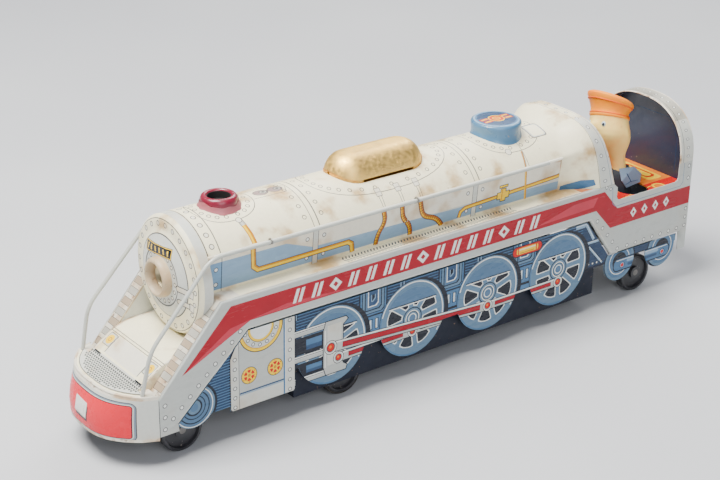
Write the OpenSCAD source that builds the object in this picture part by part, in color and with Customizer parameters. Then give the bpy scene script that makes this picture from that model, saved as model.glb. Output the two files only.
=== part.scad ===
// Tin clockwork train locomotive: printed sheet pressings round a spring motor.
// +X points forward, +Y to the left, +Z up. The origin lies on the plane the wheels
// stand on, midway along the body's top edge and on its middle plane. Millimetres.

/* [Body] */
// Length from the rear of the cab to the top edge of the pilot
body_len = 405; // [400:1:410]
// Width over the two side bands
body_w = 72; // [71.6:0.2:72.4]
// Thickness of the tinplate
tin = 0.5; // [0.4:0.1:0.6]
// Height of the running boards
ledge_z = 82; // [81.5:0.5:82.5]
// How far the skirt is set in behind the band
skirt_in = 1.5; // [1.2:0.1:1.8]
// Facets along a lofted sheet, each way
loft_steps = 10; // [8:1:14]

/* [Boiler] */
// Outer radius of the boiler
boiler_r = 31.9; // [31.5:0.1:32]
// Height of the boiler's axis
boiler_z = 86.6; // [86.4:0.1:87]
// Front end of the boiler, where the smokebox front is pressed on
boiler_front = 146; // [145:0.5:147]
// Rear end of the boiler, where the cab front begins
boiler_rear = -98; // [-99:0.5:-97]

/* [Running gear] */
// Radius of the front and rear wheels
wheel_r = 12; // [11.5:0.1:12.4]
// Radius of the drive wheels over their tyres
drive_r = 12.5; // [12:0.1:12.8]
// Width of a wheel
wheel_w = 6; // [5:0.5:6]
// Middle of the wheels, measured from the middle plane
wheel_y = 26; // [25.5:0.5:26]
// Radius of an axle
axle_r = 2; // [1.8:0.1:2]
// Radial running clearance of an axle in its holes
run = 0.05; // [0.03:0.01:0.08]

/* [Clockwork] */
// Gear module
gear_m = 1; // [1:0.1:1]
// Teeth of the great wheel
great_n = 48; // [48:1:48]
// Teeth of the second wheel
second_n = 40; // [40:1:40]
// Teeth of every pinion
pinion_n = 12; // [12:1:12]
// Gap between meshing teeth at the pitch circle
backlash = 0.25; // [0.2:0.05:0.3]
// Turns of the mainspring
spring_turns = 7; // [5:1:8]

/* [Driver] */
// How far the driver stands to the left of the middle plane
driver_y = 10; // [8:1:11]

/* [Hidden] */
$fn = 64;

// Colours of the printed sheet and the bare metal
cream = "#e9e0c8";
grey = "#b9bab2";
crimson = "#9e1f33";
litho_blue = "#7ea6c8";
bare = "#9a9a98";
brassy = "#c9a04e";
black_tin = "#20232a";

// Body outline
front_x = body_len / 2;
rear_x = -body_len / 2;
half_w = body_w / 2;
inner_w = half_w - tin;
skirt_y = half_w - skirt_in;
skirt_inner = skirt_y - tin;
seam_x = 182.5;
wing_top_x = 144;
wing_low_z = 38;
wing_foot_z = 17;
wing_flange = 10;
wing_inner = half_w - wing_flange;
band_low_z = 62;
sill_z = 70.5;
cab_low_z = 35;
leg_low_z = 23;
sill_front_x = -137;
sill_rear_x = -190.7;
cab_corner_x = -116;
cab_diag_x = -136;

// Printed wheels that the skirt is cut round
litho_hubs = [73.9, 18.3, -37.4, -93];
litho_z = 36.3;
litho_r = 23;
pony_x = 161;
truck_hubs = [-145, -181];
truck_r = 13;
small_z = 28;

// Boiler foot and the crease where its top sheet overhangs the side wall
foot_y = 24;
crease_y = 27;
crease_z = boiler_z + sqrt(pow(boiler_r, 2) - pow(crease_y, 2));
crease_in = 1;
boiler_top = boiler_z + boiler_r;

// Cab
front_arch_top = 122.8;
front_arch_x = -121;
rear_arch_top = 117.5;
floor_z = 66;
slot_x = -167;
slot_r = 10;
slot_half = 19;

// Axles and arbors
front_x_axle = 165;
drive_x = 62;
rear_x_axle = -167;
arbor_x = 16;
arbor_z = 40;
arbor_r = 3;
pinion_r = gear_m * pinion_n / 2;
great_r = gear_m * great_n / 2;
second_r = gear_m * second_n / 2;

// Where two circles about a and b, with radii p and q, cross on the upper side
function crossing(a, b, p, q) =
    let (d = norm(b - a), u = (b - a) / d, k = (p * p - q * q + d * d) / (2 * d))
    a + u * k + [-u[1], u[0]] * sqrt(p * p - k * k);
function heading(a, b) = atan2(b[1] - a[1], b[0] - a[0]);

great_at = [arbor_x, arbor_z];
drive_at = [drive_x, drive_r];
second_at = crossing(great_at, drive_at, great_r + pinion_r, second_r + pinion_r);
governor_dir = 80;
governor_at = second_at + (second_r + pinion_r) * [cos(governor_dir), sin(governor_dir)];
to_second = heading(great_at, second_at);
to_drive = heading(second_at, drive_at);
mesh_turn = 180 + 180 / pinion_n;
governor_phase = governor_dir + mesh_turn - (to_drive - governor_dir) * second_n / pinion_n;

// Layers of the motor, along Y
plate_y = 14;
plate_t = 1.2;
great_y = [7, 8.6];
ratchet_y = [4.2, 5.8];
second_y = [-3, -1.4];
spring_y = [-12.6, -4.4];
second_arbor_r = 1.5;

// Driver
arm_pivot_x = -100;
driver_x = -166;
arm_z = 56.3;
arm_t = 1.2;
pin_r = 2;

// Handrail wire, and the top of the pilot that it stands on
apron_top_z = 40;
wire_r = 1.1;
rail_y = 30.2;
rail_z = 104.6;
rail_foot = [188.8, 30.9, apron_top_z + 0.8];
rail_bend = [183.9, 32, 64];
rail_top = [boiler_front, rail_y, rail_z];
rail_end = [-84, rail_y, rail_z];
eyelet_x = [110, 14];

// Helpers -------------------------------------------------------------------

// An outline in X and Z, filled from y0 to y1
module slab_xz(points, y0, y1) {
    translate([0, y1, 0]) rotate([90, 0, 0]) linear_extrude(y1 - y0) polygon(points);
}

// An outline in Y and Z, filled from x0 to x1
module slab_yz(points, x0, x1) {
    translate([x0, 0, 0]) rotate([90, 0, 90]) linear_extrude(x1 - x0) polygon(points);
}

// A block between two corners
module block(low, high) {
    translate(low) cube(high - low);
}

// A disc or shaft lying along Y between y0 and y1
module disc_y(at, r, y0, y1, fn = 48) {
    translate([at[0], y1, at[1]]) rotate([90, 0, 0]) cylinder(r = r, h = y1 - y0, $fn = fn);
}

// A round wire between two points
module wire(p, q, r) {
    d = q - p;
    translate(p) rotate([0, acos(d[2] / norm(d)), atan2(d[1], d[0])])
        cylinder(r = r, h = norm(d), $fn = 24);
}

// A copy of the children on one side: 1 is left, -1 is right
module on_side(side) {
    if (side > 0) children();
    else mirror([0, 1, 0]) children();
}

// A thin strip along a line of points in X and Z, thick towards its left
function left_of(p, q) = [-(q - p)[1], (q - p)[0]] / norm(q - p);
function mitre(points, i) =
    let (last = len(points) - 1, k = min(i, last - 1),
        a = left_of(points[max(i - 1, 0)], points[max(i, 1)]), b = left_of(points[k], points[k + 1]))
    (a + b) / (1 + a * b);
module strip_xz(points, thick, y0, y1) {
    back = [for (i = [len(points) - 1 : -1 : 0]) points[i] + mitre(points, i) * thick];
    slab_xz(concat(points, back), y0, y1);
}

// A closed solid through rings of points, each ring the same length. A ring runs out
// along one side and back along the other, so its ends are closed by strips across it.
module loft(rings) {
    n = len(rings[0]);
    last = len(rings) - 1;
    faces = [for (i = [0 : last - 1], j = [0 : n - 1], k = [0, 1])
        let (a = i * n + j, b = i * n + (j + 1) % n, c = a + n, d = b + n)
        k == 0 ? [a, b, c] : [b, d, c]];
    strips = [for (j = [0 : n / 2 - 2], k = [0, 1])
        k == 0 ? [j, j + 1, n - 2 - j] : [j, n - 2 - j, n - 1 - j]];
    polyhedron([for (r = rings) each r], concat(faces,
        [for (f = strips) [f[2], f[1], f[0]]], [for (f = strips) f + last * n * [1, 1, 1]]),
        convexity = 6);
}

// An arch in Y and Z on the running boards: half width a, height b, squareness n
function arch(a, b, n, steps = 24) =
    [for (i = [0 : steps]) let (t = 180 * i / steps, c = cos(t), s = sin(t))
        [sign(c) * a * pow(abs(c), 2 / n), ledge_z + b * pow(abs(s), 2 / n)]];

// An involute gear in the X and Z plane, with its first tooth at angle phase
function involute(base, r) = let (a = acos(base / r)) tan(a) * 180 / PI - a;
function tooth(n, add) =
    let (r = gear_m * n / 2, base = r * cos(20), tip = r + add, root = r - 1.15 * gear_m,
        half = 90 / n - backlash / 4 / r * 180 / PI + involute(base, r),
        low = max(base, root), rows = 4,
        side = [for (i = [0 : rows]) let (q = low + (tip - low) * i / rows)
            [q, half - involute(base, q)]])
    concat([[root, -half]], [for (p = side) [p[0], -p[1]]],
        [for (i = [rows : -1 : 0]) side[i]], [[root, half]]);
module gear(at, n, add, bore, phase, y0, y1) {
    one = tooth(n, add);
    points = [for (k = [0 : n - 1], p = one) let (a = p[1] + 360 * k / n + phase)
        p[0] * [cos(a), sin(a)]];
    difference() {
        translate([at[0], 0, at[1]]) slab_xz(points, y0, y1);
        disc_y(at, bore, y0 - 1, y1 + 1);
    }
}

// Body pressings ------------------------------------------------------------

// Lower edge of the raised band, from the pilot seam to the rear leg
band_edge = [[171, 21], [128, band_low_z], [cab_corner_x, band_low_z], [cab_diag_x, cab_low_z],
    [-196, cab_low_z]];

module band_plate() {
    slab_xz(concat([[seam_x, wing_foot_z], [seam_x, wing_low_z], [wing_top_x, ledge_z],
        [-133.8, ledge_z], [sill_front_x, ledge_z - 3], [sill_front_x, sill_z],
        [sill_rear_x, sill_z], [sill_rear_x, ledge_z], [rear_x, ledge_z],
        [rear_x, leg_low_z], [-196, leg_low_z]],
        [for (i = [len(band_edge) - 1 : -1 : 0]) band_edge[i]], [[171, wing_foot_z]]),
        inner_w, half_w);
}

// The skirt below the band, cut round the printed wheels
module skirt_plate() {
    under_band = [for (i = [0 : len(band_edge) - 1]) band_edge[i] - mitre(band_edge, i) * tin / 2];
    translate([0, skirt_y, 0]) rotate([90, 0, 0]) linear_extrude(tin) intersection() {
        union() {
            translate([98, 16.6]) square([41, 50]);
            translate([cab_diag_x, 29]) square([240, 40]);
            translate([138, 20]) square([24, 38]);
            translate([-195, 29]) square([61, 10]);
            for (x = litho_hubs) translate([x, litho_z]) circle(r = litho_r, $fn = 96);
            for (x = concat([pony_x], truck_hubs)) translate([x, small_z]) circle(r = truck_r);
        }
        polygon(concat(under_band, [[-196, 5], [171, 5]]));
    }
}

// Gap between the running board and the leaning boiler wall
foot_gap = 0.25;
// Gap between the side panels and the smokebox ring
ring_gap = 0.05;
// Lower edge of the wing's inner wall
wing_wall_z = 33;
module side_sheet() {
    into_plate = inner_w + tin / 2;
    flange = [[boiler_rear, ledge_z], [wing_top_x, ledge_z], [seam_x, wing_low_z]];
    under = left_of(flange[1], flange[2]) * tin / 2;
    band_plate();
    skirt_plate();
    strip_xz(band_edge, -tin, skirt_inner, into_plate);
    // running board, wing flange and the wing's inner wall
    difference() {
        union() {
            block([boiler_rear, foot_y + foot_gap, ledge_z - tin],
                [wing_top_x - 1, wing_inner, ledge_z]);
            strip_xz(flange, -tin, wing_inner, into_plate);
            slab_xz([flange[1] - under, flange[2] - under, [seam_x - 1, wing_wall_z],
                [wing_top_x - 0.2, wing_wall_z]], wing_inner, wing_inner + tin);
        }
        translate([boiler_front - ring_gap, 0, boiler_z]) rotate([0, 90, 0])
            cylinder(r = boiler_r + ring_gap, h = 12, $fn = 96);
    }
}

module side_left() {
    color(grey) side_sheet();
}

module side_right() {
    color(grey) difference() {
        mirror([0, 1, 0]) side_sheet();
        disc_y(great_at, arbor_r + 1.5, -half_w - 1, -skirt_inner + 1);
    }
}

// Boiler section: a round top that overhangs two side walls
module boiler_profile(inset) {
    intersection() {
        translate([0, boiler_z]) circle(r = boiler_r - inset, $fn = 128);
        polygon([[-boiler_r - 1, crease_z + inset], [-crease_y, crease_z + inset],
            [-crease_y + crease_in + inset, crease_z + inset],
            [-foot_y + inset, ledge_z - 2], [foot_y - inset, ledge_z - 2],
            [crease_y - crease_in - inset, crease_z + inset],
            [crease_y, crease_z + inset], [boiler_r + 1, crease_z + inset],
            [boiler_r + 1, boiler_top + 1], [-boiler_r - 1, boiler_top + 1]]);
    }
}

module boiler_shell() {
    color(cream) translate([boiler_rear, 0, 0]) rotate([90, 0, 90])
        linear_extrude(boiler_front - boiler_rear) difference() {
            boiler_profile(0);
            boiler_profile(tin);
            translate([-foot_y - 2, ledge_z - 4]) square([2 * foot_y + 4, 2.01]);
            translate([-foot_y + tin, ledge_z - 3]) square([2 * (foot_y - tin), 4]);
        }
}

// A ring or cup turned about the boiler's axis, from [radius, x] points
module turned_x(points, fn = 96) {
    translate([0, 0, boiler_z]) rotate([0, 90, 0]) rotate_extrude($fn = fn) polygon(points);
}

lamp_r = 9.8;
lamp_bore = 7.2;
lamp_relief = 7.5;
lamp_front = 164;
module smokebox_front() {
    color(cream) turned_x([[boiler_r, boiler_front], [boiler_r, 151.6], [30.9, 153.2],
        [29.5, 154], [24, 154.2], [17, 157.2], [lamp_r + 0.02, 157.4],
        [lamp_r + 0.02, 157.4 - tin], [17, 157.2 - tin], [24, 154.2 - tin],
        [29.2, 154 - tin], [30.5, 152.9], [boiler_r - tin, 151.4],
        [boiler_r - tin, boiler_front]]);
}

module headlamp_ring() {
    color(cream) turned_x([[dish_r + 0.02, 154.5], [lamp_r, 154.5], [lamp_r, 162.6],
        [9.2, 163.8], [8.5, lamp_front], [7.7, 163.6], [lamp_bore, 162.6],
        [lamp_bore, 157.9], [lamp_relief, 157.9], [lamp_relief, 157.5],
        [dish_r + 0.02, 157.5]]);
}

dish_r = 6.88;
module headlamp_dish() {
    color(brassy) turned_x([[0.01, 153], [3, 153.2], [6, 154.6], [dish_r, 156.3],
        [dish_r, 157.1], [6, 155.4], [3, 154], [0.01, 153.8]], 48);
}

// Cuts a fitting to sit on the boiler
module saddle() {
    difference() {
        children();
        translate([boiler_rear, 0, boiler_z]) rotate([0, 90, 0])
            cylinder(r = boiler_r + 0.01, h = boiler_front - boiler_rear + 10, $fn = 128);
    }
}

chimney_x = 121.7;
module chimney() {
    color(crimson) saddle() translate([chimney_x, 0, 0]) rotate_extrude($fn = 64)
        polygon([[6.3, 112], [11.6, 112], [11.4, 117.6], [10.4, 118.4], [10, 119.6],
            [9.9, 121.4], [9.5, 122.8], [8.7, 123.7], [7.6, 124], [6.7, 123.6], [6.3, 122.6]]);
}

dome_rear = -9.5;
dome_front = 52;
dome_half = 14;
dome_shoulder = 116;
dome_top = 129.3;
dome_flat = 3;
// Half of the dome's cross-section, drawn in by an inset
function dome_section(inset) = concat([[0, 110 - inset], [dome_half - inset, 110 - inset]],
    [for (a = [0 : 15 : 90]) [dome_flat + (dome_half - dome_flat) * cos(a) - inset,
        dome_shoulder + (dome_top - dome_shoulder) * sin(a) - inset]],
    [[0, dome_top - inset]]);
module sand_dome() {
    color(brassy) saddle() difference() {
        dome_body(dome_section(0));
        dome_body(dome_section(tin));
    }
}
module dome_body(half) {
    ends = [dome_rear + dome_half, dome_front - dome_half];
    other_half = [for (k = [len(half) - 2 : -1 : 1]) [-half[k][0], half[k][1]]];
    for (x = ends) translate([x, 0, 0]) rotate_extrude() polygon(half);
    slab_yz(concat(half, other_half), ends[0], ends[1]);
}

steam_x = -68.9;
steam_r = 15.1;
module steam_dome() {
    color(litho_blue) saddle() translate([steam_x, 0, 0]) rotate_extrude($fn = 64)
        polygon([[steam_r - tin, 110], [steam_r, 110], [steam_r, 123], [14.6, 125.2],
            [13.5, 126.3], [0, 126.6], [0, 126.6 - tin], [13.2, 126.3 - tin],
            [steam_r - tin, 123]]);
}

// Pilot: a curved apron that leans out at its foot, and the deck behind it
apron_low_z = 14;
apron_half = 32.5;
apron_bulge = 12;
apron_swell = 5.4;
// How far the middle of the apron stands ahead of its top edge at a height
function apron_lead(z) =
    apron_swell * sin(130 * (apron_top_z - z) / (apron_top_z - apron_low_z));
function apron_curve(lead) = [for (i = [-8 : 8]) let (y = i / 8 * apron_half)
    [front_x - apron_bulge + (apron_bulge + lead) * (1 - pow(abs(i / 8), 2.8)), y]];
function apron_ring(z, lead, inset) = concat([[seam_x, -half_w + inset, z]],
    [for (p = apron_curve(lead)) [p[0] - inset, p[1] * (1 - inset / 60), z]],
    [[seam_x, half_w - inset, z]]);
function closed_ring(z, lead) = let (o = apron_ring(z, lead, 0), i = apron_ring(z, lead, tin))
    concat(o, [for (k = [len(i) - 1 : -1 : 0]) i[k]]);
module pilot_apron() {
    color(crimson) loft([for (z = [apron_low_z : 6.5 : apron_top_z]) closed_ring(z, apron_lead(z))]);
}

deck_line = [[188, apron_top_z + 1.2], [184.9, 42.8], [179, 47.3], [172, 51.6], [165, 53.6],
    [157, 54.1], [140, 54.1]];
module pilot_deck() {
    color(cream) {
        strip_xz(deck_line, tin, -wing_inner + 0.02, wing_inner - 0.02);
        difference() {
            translate([0, 0, apron_top_z]) linear_extrude(0.8) polygon(
                [for (p = apron_ring(0, 0, 0)) [p[0], p[1]]]);
            for (y = [-1, 1] * 20.9) block([184.4, y - 3, 30], [185.4, y + 3, 60]);
        }
        block([seam_x + 0.02, -wing_inner + 0.02, apron_top_z],
            [188.2, wing_inner - 0.02, apron_top_z + 1.6]);
    }
}

rail_path = [rail_foot, rail_bend, rail_top, rail_end];
module handrail(side) {
    on_side(side) {
        for (i = [0 : 2]) wire(rail_path[i], rail_path[i + 1], wire_r);
        for (i = [1, 2]) translate(rail_path[i]) sphere(r = wire_r + 0.04, $fn = 24);
    }
}
module handrail_left() {
    color(cream) handrail(1);
}
module handrail_right() {
    color(cream) handrail(-1);
}

module handrail_eyelets() {
    outward = atan2(rail_z - boiler_z, rail_y);
    color(bare) for (side = [1, -1], x = eyelet_x) on_side(side)
        translate([x, rail_y, rail_z]) {
            rotate([0, 90, 0]) difference() {
                cylinder(r = wire_r + 0.9, h = 1.6, center = true, $fn = 32);
                cylinder(r = wire_r + 0.03, h = 3, center = true, $fn = 32);
            }
            rotate([outward - 180, 0, 0]) translate([-0.8, wire_r + 0.4, -0.5])
                cube([1.6, 1.4, 1]);
        }
}

// Cab front: flares from the boiler's section to the raked front arch of the cab
function boiler_reach(t) = let (drop = boiler_z - ledge_z,
    round = drop * sin(t) + sqrt(pow(boiler_r, 2) - pow(drop * cos(t), 2)),
    lean = (crease_y - foot_y) / (crease_z - ledge_z), c = abs(cos(t)) - lean * sin(t))
    c > 0.1 ? min(round, foot_y / c) : round;
function arch_reach(t, a, b, n) = 1 / pow(pow(abs(cos(t)) / a, n) + pow(sin(t) / b, n), 1 / n);
function flare(s) = let (q = min(1, s / 0.72)) q * q * (3 - 2 * q);
function flare_point(s, t, inset) =
    let (r0 = boiler_reach(t), r1 = arch_reach(t, half_w, front_arch_top - ledge_z, 3.6),
        r = r0 + (r1 - r0) * flare(s) - inset, z_end = ledge_z + r1 * sin(t),
        x_end = front_arch_x - (front_arch_top - z_end) * 16 / 51)
    [boiler_rear - 0.02 + (x_end - boiler_rear) * s, r * cos(t), ledge_z + r * sin(t)];
function flare_ring(s, steps = 30) = concat(
    [for (i = [0 : steps]) flare_point(s, 180 * i / steps, 0)],
    [for (i = [steps : -1 : 0]) flare_point(s, 180 * i / steps, tin)]);
module cab_front() {
    color(cream) loft([for (i = [loft_steps : -1 : 0]) flare_ring(i / loft_steps)]);
}

module cab_arch() {
    outer = arch(half_w, rear_arch_top - ledge_z, 2.4);
    inner = arch(half_w - tin, rear_arch_top - tin - ledge_z, 2.4);
    lip = arch(half_w - 5, rear_arch_top - 5 - ledge_z, 2.4);
    color(cream) {
        slab_yz(concat(outer, [for (i = [len(inner) - 1 : -1 : 0]) inner[i]]), rear_x, sill_rear_x);
        slab_yz(concat(outer, [for (i = [len(lip) - 1 : -1 : 0]) lip[i]]), sill_rear_x - tin,
            sill_rear_x);
    }
}

module cab_rear_wall() {
    top = arch(inner_w - 0.02, rear_arch_top - tin - 0.02 - ledge_z, 2.4);
    color(black_tin) slab_yz(concat([[inner_w - 0.02, cab_low_z]], top,
        [[-inner_w + 0.02, cab_low_z]]), rear_x, rear_x + tin);
}

module cab_floor() {
    color(crimson) difference() {
        block([rear_x + tin + 0.02, -inner_w, floor_z - tin], [sill_front_x + 10, inner_w, floor_z]);
        hull() for (y = [-1, 1] * slot_half)
            translate([slot_x, y, floor_z - 3]) cylinder(r = slot_r, h = 6, $fn = 64);
    }
}

// Underside ------------------------------------------------------------------

pan_rear = -128;
pan_front = 96;
pan_half = 30;
pan_z = 9;
pan_top = 33;
screw_x = [-8, 88];
screw_y = 18.6;
module base_pan() {
    color(black_tin) difference() {
        union() {
            difference() {
                block([pan_rear, -pan_half, pan_z], [pan_front, pan_half, pan_top]);
                block([pan_rear + 0.6, -pan_half + 0.6, pan_z + 0.6],
                    [pan_front - 0.6, pan_half - 0.6, pan_top + 1]);
            }
            for (side = [0, 1]) mirror([0, side, 0])
                block([pan_rear, pan_half - 0.6, pan_top - 0.6], [pan_front, skirt_inner, pan_top]);
        }
        for (side = [0, 1]) mirror([0, side, 0]) {
            block([drive_x - 14, 22, 0], [drive_x + 14, pan_half - 0.6, pan_z + 2]);
            for (x = screw_x) translate([x, screw_y, 0]) cylinder(r = 1.3, h = 12, $fn = 32);
        }
        // openings for the pinion under the axle and for the pin of the stop lever
        block([drive_x - 9, -7, 0], [drive_x + 9, 3, pan_z + 2]);
        translate([lever_x, 0, 0]) cylinder(r = lever_pin_r + run, h = pan_z + 2, $fn = 32);
        disc_y(great_at, arbor_r + 1.5, -pan_half - 1, -pan_half + 1);
    }
}

module base_screws() {
    color(bare) for (x = screw_x, y = [-1, 1] * screw_y) translate([x, y, 0]) difference() {
        union() {
            translate([0, 0, pan_z - 1]) cylinder(r = 2.4, h = 1, $fn = 32);
            translate([0, 0, pan_z - 0.5]) cylinder(r = 1.2, h = 3.2, $fn = 32);
        }
        translate([-3, -0.3, pan_z - 1.5]) cube([6, 0.6, 1]);
    }
}

// A bridge between the side panels with two ears that carry an axle
module axle_bracket(x, z, bridge_z, half, length) {
    ear_y = 20;
    difference() {
        union() {
            block([x - length / 2, -half, bridge_z], [x + length / 2, half, bridge_z + 0.8]);
            for (side = [0, 1]) mirror([0, side, 0]) {
                slab_xz([[x - 9, bridge_z + 0.1], [x + 9, bridge_z + 0.1], [x + 5, z - 4.5],
                    [x - 5, z - 4.5]], ear_y, ear_y + 1.2);
            }
        }
        disc_y([x, z], axle_r + run, -half, half);
    }
}

module front_bracket() {
    color(bare) axle_bracket(front_x_axle, wheel_r, 34, wing_inner, 26);
}

module rear_bracket() {
    color(bare) axle_bracket(rear_x_axle, wheel_r, 29, skirt_inner, 30);
}

module axle(x, z) {
    color(bare) disc_y([x, z], axle_r, -wheel_y - wheel_w / 2, wheel_y + wheel_w / 2);
}

// A pressed wheel with a recessed face, turned about Y
module wheel(x, r, side) {
    h = wheel_w / 2;
    color(black_tin) on_side(side) translate([x, wheel_y, r_height(x)]) rotate([90, 0, 0])
        rotate_extrude($fn = 64) polygon([[axle_r, -h], [4, -h], [4, -h + 1.6],
            [r - 2.4, -h + 1.6], [r - 1.8, -h], [r - 0.5, -h], [r, -h + 0.5], [r, h - 0.5],
            [r - 0.5, h], [r - 1.8, h], [r - 2.4, h - 1.6], [4, h - 1.6], [4, h], [axle_r, h]]);
}
function r_height(x) = x == drive_x ? drive_r : wheel_r;

module front_axle() {
    axle(front_x_axle, wheel_r);
}
module front_wheel_left() {
    wheel(front_x_axle, wheel_r, 1);
}
module front_wheel_right() {
    wheel(front_x_axle, wheel_r, -1);
}
module rear_axle() {
    axle(rear_x_axle, wheel_r);
}
module rear_wheel_left() {
    wheel(rear_x_axle, wheel_r, 1);
}
module rear_wheel_right() {
    wheel(rear_x_axle, wheel_r, -1);
}
module drive_axle() {
    axle(drive_x, drive_r);
}
module drive_wheel_left() {
    wheel(drive_x, drive_r - 1.2, 1);
}
module drive_wheel_right() {
    wheel(drive_x, drive_r - 1.2, -1);
}

module tyre(side) {
    h = wheel_w / 2 - 0.3;
    color("#2b2725") on_side(side) translate([drive_x, wheel_y, drive_r]) rotate([90, 0, 0])
        rotate_extrude($fn = 64) polygon([[drive_r - 1.2, -h], [drive_r - 0.4, -h],
            [drive_r, -h + 0.8], [drive_r, h - 0.8], [drive_r - 0.4, h], [drive_r - 1.2, h]]);
}
module drive_tyre_left() {
    tyre(1);
}
module drive_tyre_right() {
    tyre(-1);
}

// Clockwork -------------------------------------------------------------------

wheel_add = 0.75;
pinion_add = 0.9;

module drive_pinion() {
    color(brassy) gear(drive_at, pinion_n, pinion_add, axle_r, to_drive + mesh_turn, -5, 0.4);
}

pillars = [[-6, 16], [-8, 60], [84, 16], [74, 58]];
module motor_plate(side) {
    feet_z = pan_z + 0.6;
    color(bare) on_side(side) difference() {
        union() {
            slab_xz([[-14, feet_z], [94, feet_z], [90, 34], [80, 66], [-14, 67]],
                plate_y, plate_y + plate_t);
            for (x = screw_x) block([x - 6, plate_y, feet_z], [x + 6, plate_y + 8.4, feet_z + 1.2]);
        }
        disc_y(great_at, arbor_r + run, 0, 20);
        disc_y(drive_at, axle_r + run, 0, 20);
        for (p = [second_at, governor_at]) disc_y(p, second_arbor_r + run, 0, 20);
        for (p = pillars) disc_y(p, 1.5, 0, 20);
        for (x = screw_x) translate([x, screw_y, 0]) cylinder(r = 1.2, h = 20, $fn = 32);
    }
}
module motor_plate_left() {
    motor_plate(1);
}
module motor_plate_right() {
    motor_plate(-1);
}

module motor_pillars() {
    color(bare) for (p = pillars) {
        disc_y(p, 2.6, -plate_y, plate_y);
        disc_y(p, 1.5, -plate_y - plate_t - 0.8, plate_y + plate_t + 0.8);
    }
}

module winding_arbor() {
    color(bare) {
        disc_y(great_at, arbor_r, -40, plate_y + plate_t + 1);
        intersection() {
            disc_y(great_at, arbor_r, -48, -39);
            block([arbor_x - 2.2, -48, arbor_z - 2.2], [arbor_x + 2.2, -39, arbor_z + 2.2]);
        }
    }
}

module winding_key() {
    hub_y = [-50, -40];
    color(bare) difference() {
        union() {
            disc_y(great_at, 4.6, hub_y[0], hub_y[1]);
            for (side = [-1, 1]) difference() {
                disc_y(great_at + [12 * side, 0], 8.5, -46.2, -44);
                disc_y(great_at + [12.5 * side, 0], 4.2, -47, -43);
            }
        }
        block([arbor_x - 2.2, -48, arbor_z - 2.2], [arbor_x + 2.2, hub_y[1] + 1, arbor_z + 2.2]);
    }
}

// Ratchet wheel: saw teeth that hold the arbor against the click
ratchet_n = 16;
ratchet_r = 8;
module ratchet_wheel() {
    color(bare) difference() {
        translate([arbor_x, 0, arbor_z]) slab_xz([for (k = [0 : ratchet_n - 1], e = [0, 1])
            let (a = 360 * k / ratchet_n, r = e == 0 ? ratchet_r : ratchet_r - 1.5)
            r * [cos(a - e * 2), sin(a - e * 2)]], ratchet_y[0], ratchet_y[1]);
        disc_y(great_at, arbor_r, 0, 20);
    }
}

click_at = great_at + [-13, 6];
module click() {
    y0 = ratchet_y[0];
    y1 = ratchet_y[1];
    color(brassy) difference() {
        union() {
            disc_y(click_at, 2.2, y0, y1, 32);
            slab_xz([click_at + [-1, 2], click_at + [2, 1.6], click_at + [5.6, -1.3],
                click_at + [5.2, -2.1], click_at + [1, -2]], y0, y1);
        }
        disc_y(click_at, 1 + run, y0 - 1, y1 + 1, 32);
    }
}

module click_spring() {
    y0 = ratchet_y[0] + 0.3;
    at = click_at + [-1, 0];
    color(bare) strip_xz([at + [-5, -14], at + [-4.6, -5], at + [-3.2, 2], at + [-2.6, 2.2]], 0.3,
        y0, great_y[0]);
}

module great_wheel() {
    color(brassy) {
        difference() {
            gear(great_at, great_n, wheel_add, arbor_r + run, to_second, great_y[0], great_y[1]);
            for (k = [0 : 4]) disc_y(great_at + 14.5 * [cos(72 * k + 48), sin(72 * k + 48)], 3.6,
                0, 20);
        }
        disc_y(click_at, 1, ratchet_y[0], great_y[0], 32);
    }
}

// Mainspring: a flat strip wound between the arbor and a pillar
function spiral(a, grow) = let (r = 5 + grow + a / 360 * 2.1) great_at + r * [cos(a), sin(a)];
module mainspring() {
    steps = 20 * spring_turns;
    angles = [for (i = [0 : steps]) 360 * spring_turns * i / steps];
    color("#5a6068") slab_xz(concat([for (a = angles) spiral(a, 0)],
        [for (i = [steps : -1 : 0]) spiral(angles[i], 0.4)]), spring_y[0], spring_y[1]);
}

module arbor_between_plates(at) {
    end_y = plate_y + plate_t + 0.6;
    color(bare) disc_y(at, second_arbor_r, -end_y, end_y, 32);
}
module second_arbor() {
    arbor_between_plates(second_at);
}
module second_pinion() {
    color(brassy) gear(second_at, pinion_n, pinion_add, second_arbor_r, to_second + mesh_turn,
        great_y[0] - 0.6, great_y[1] + 0.6);
}
module second_wheel() {
    color(brassy) difference() {
        gear(second_at, second_n, wheel_add, second_arbor_r, to_drive, second_y[0], second_y[1]);
        for (k = [0 : 4]) disc_y(second_at + 11.5 * [cos(72 * k), sin(72 * k)], 3.4, -9, 9);
    }
}
module governor_arbor() {
    arbor_between_plates(governor_at);
}
module governor_pinion() {
    color(brassy) gear(governor_at, pinion_n, pinion_add, second_arbor_r, governor_phase, -5, 0.4);
}
module governor_fly() {
    color(bare) difference() {
        union() {
            disc_y(governor_at, 3.4, -12.5, -8.5);
            for (side = [-1, 1]) disc_y(governor_at + [5 * side, 0], 3.6, -12, -9.4, 32);
        }
        disc_y(governor_at, second_arbor_r, -15, 0);
    }
}

// Stop lever: a wire handle under the rear of the base
lever_x = -110;
lever_pin_r = 1.5;
module stop_lever() {
    color(bare) {
        translate([lever_x, 0, pan_z - 1.6]) difference() {
            union() {
                cylinder(r = 3.6, h = 1.2, $fn = 32);
                block([0, -1.6, 0], [22, 1.6, 1.2]);
            }
        }
        translate([lever_x, 0, pan_z - 1.6]) cylinder(r = lever_pin_r, h = 4, $fn = 32);
        translate([lever_x + 20, 0, pan_z - 5]) cylinder(r = 1.6, h = 4.4, $fn = 32);
    }
}

// Driver ------------------------------------------------------------------------

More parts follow.
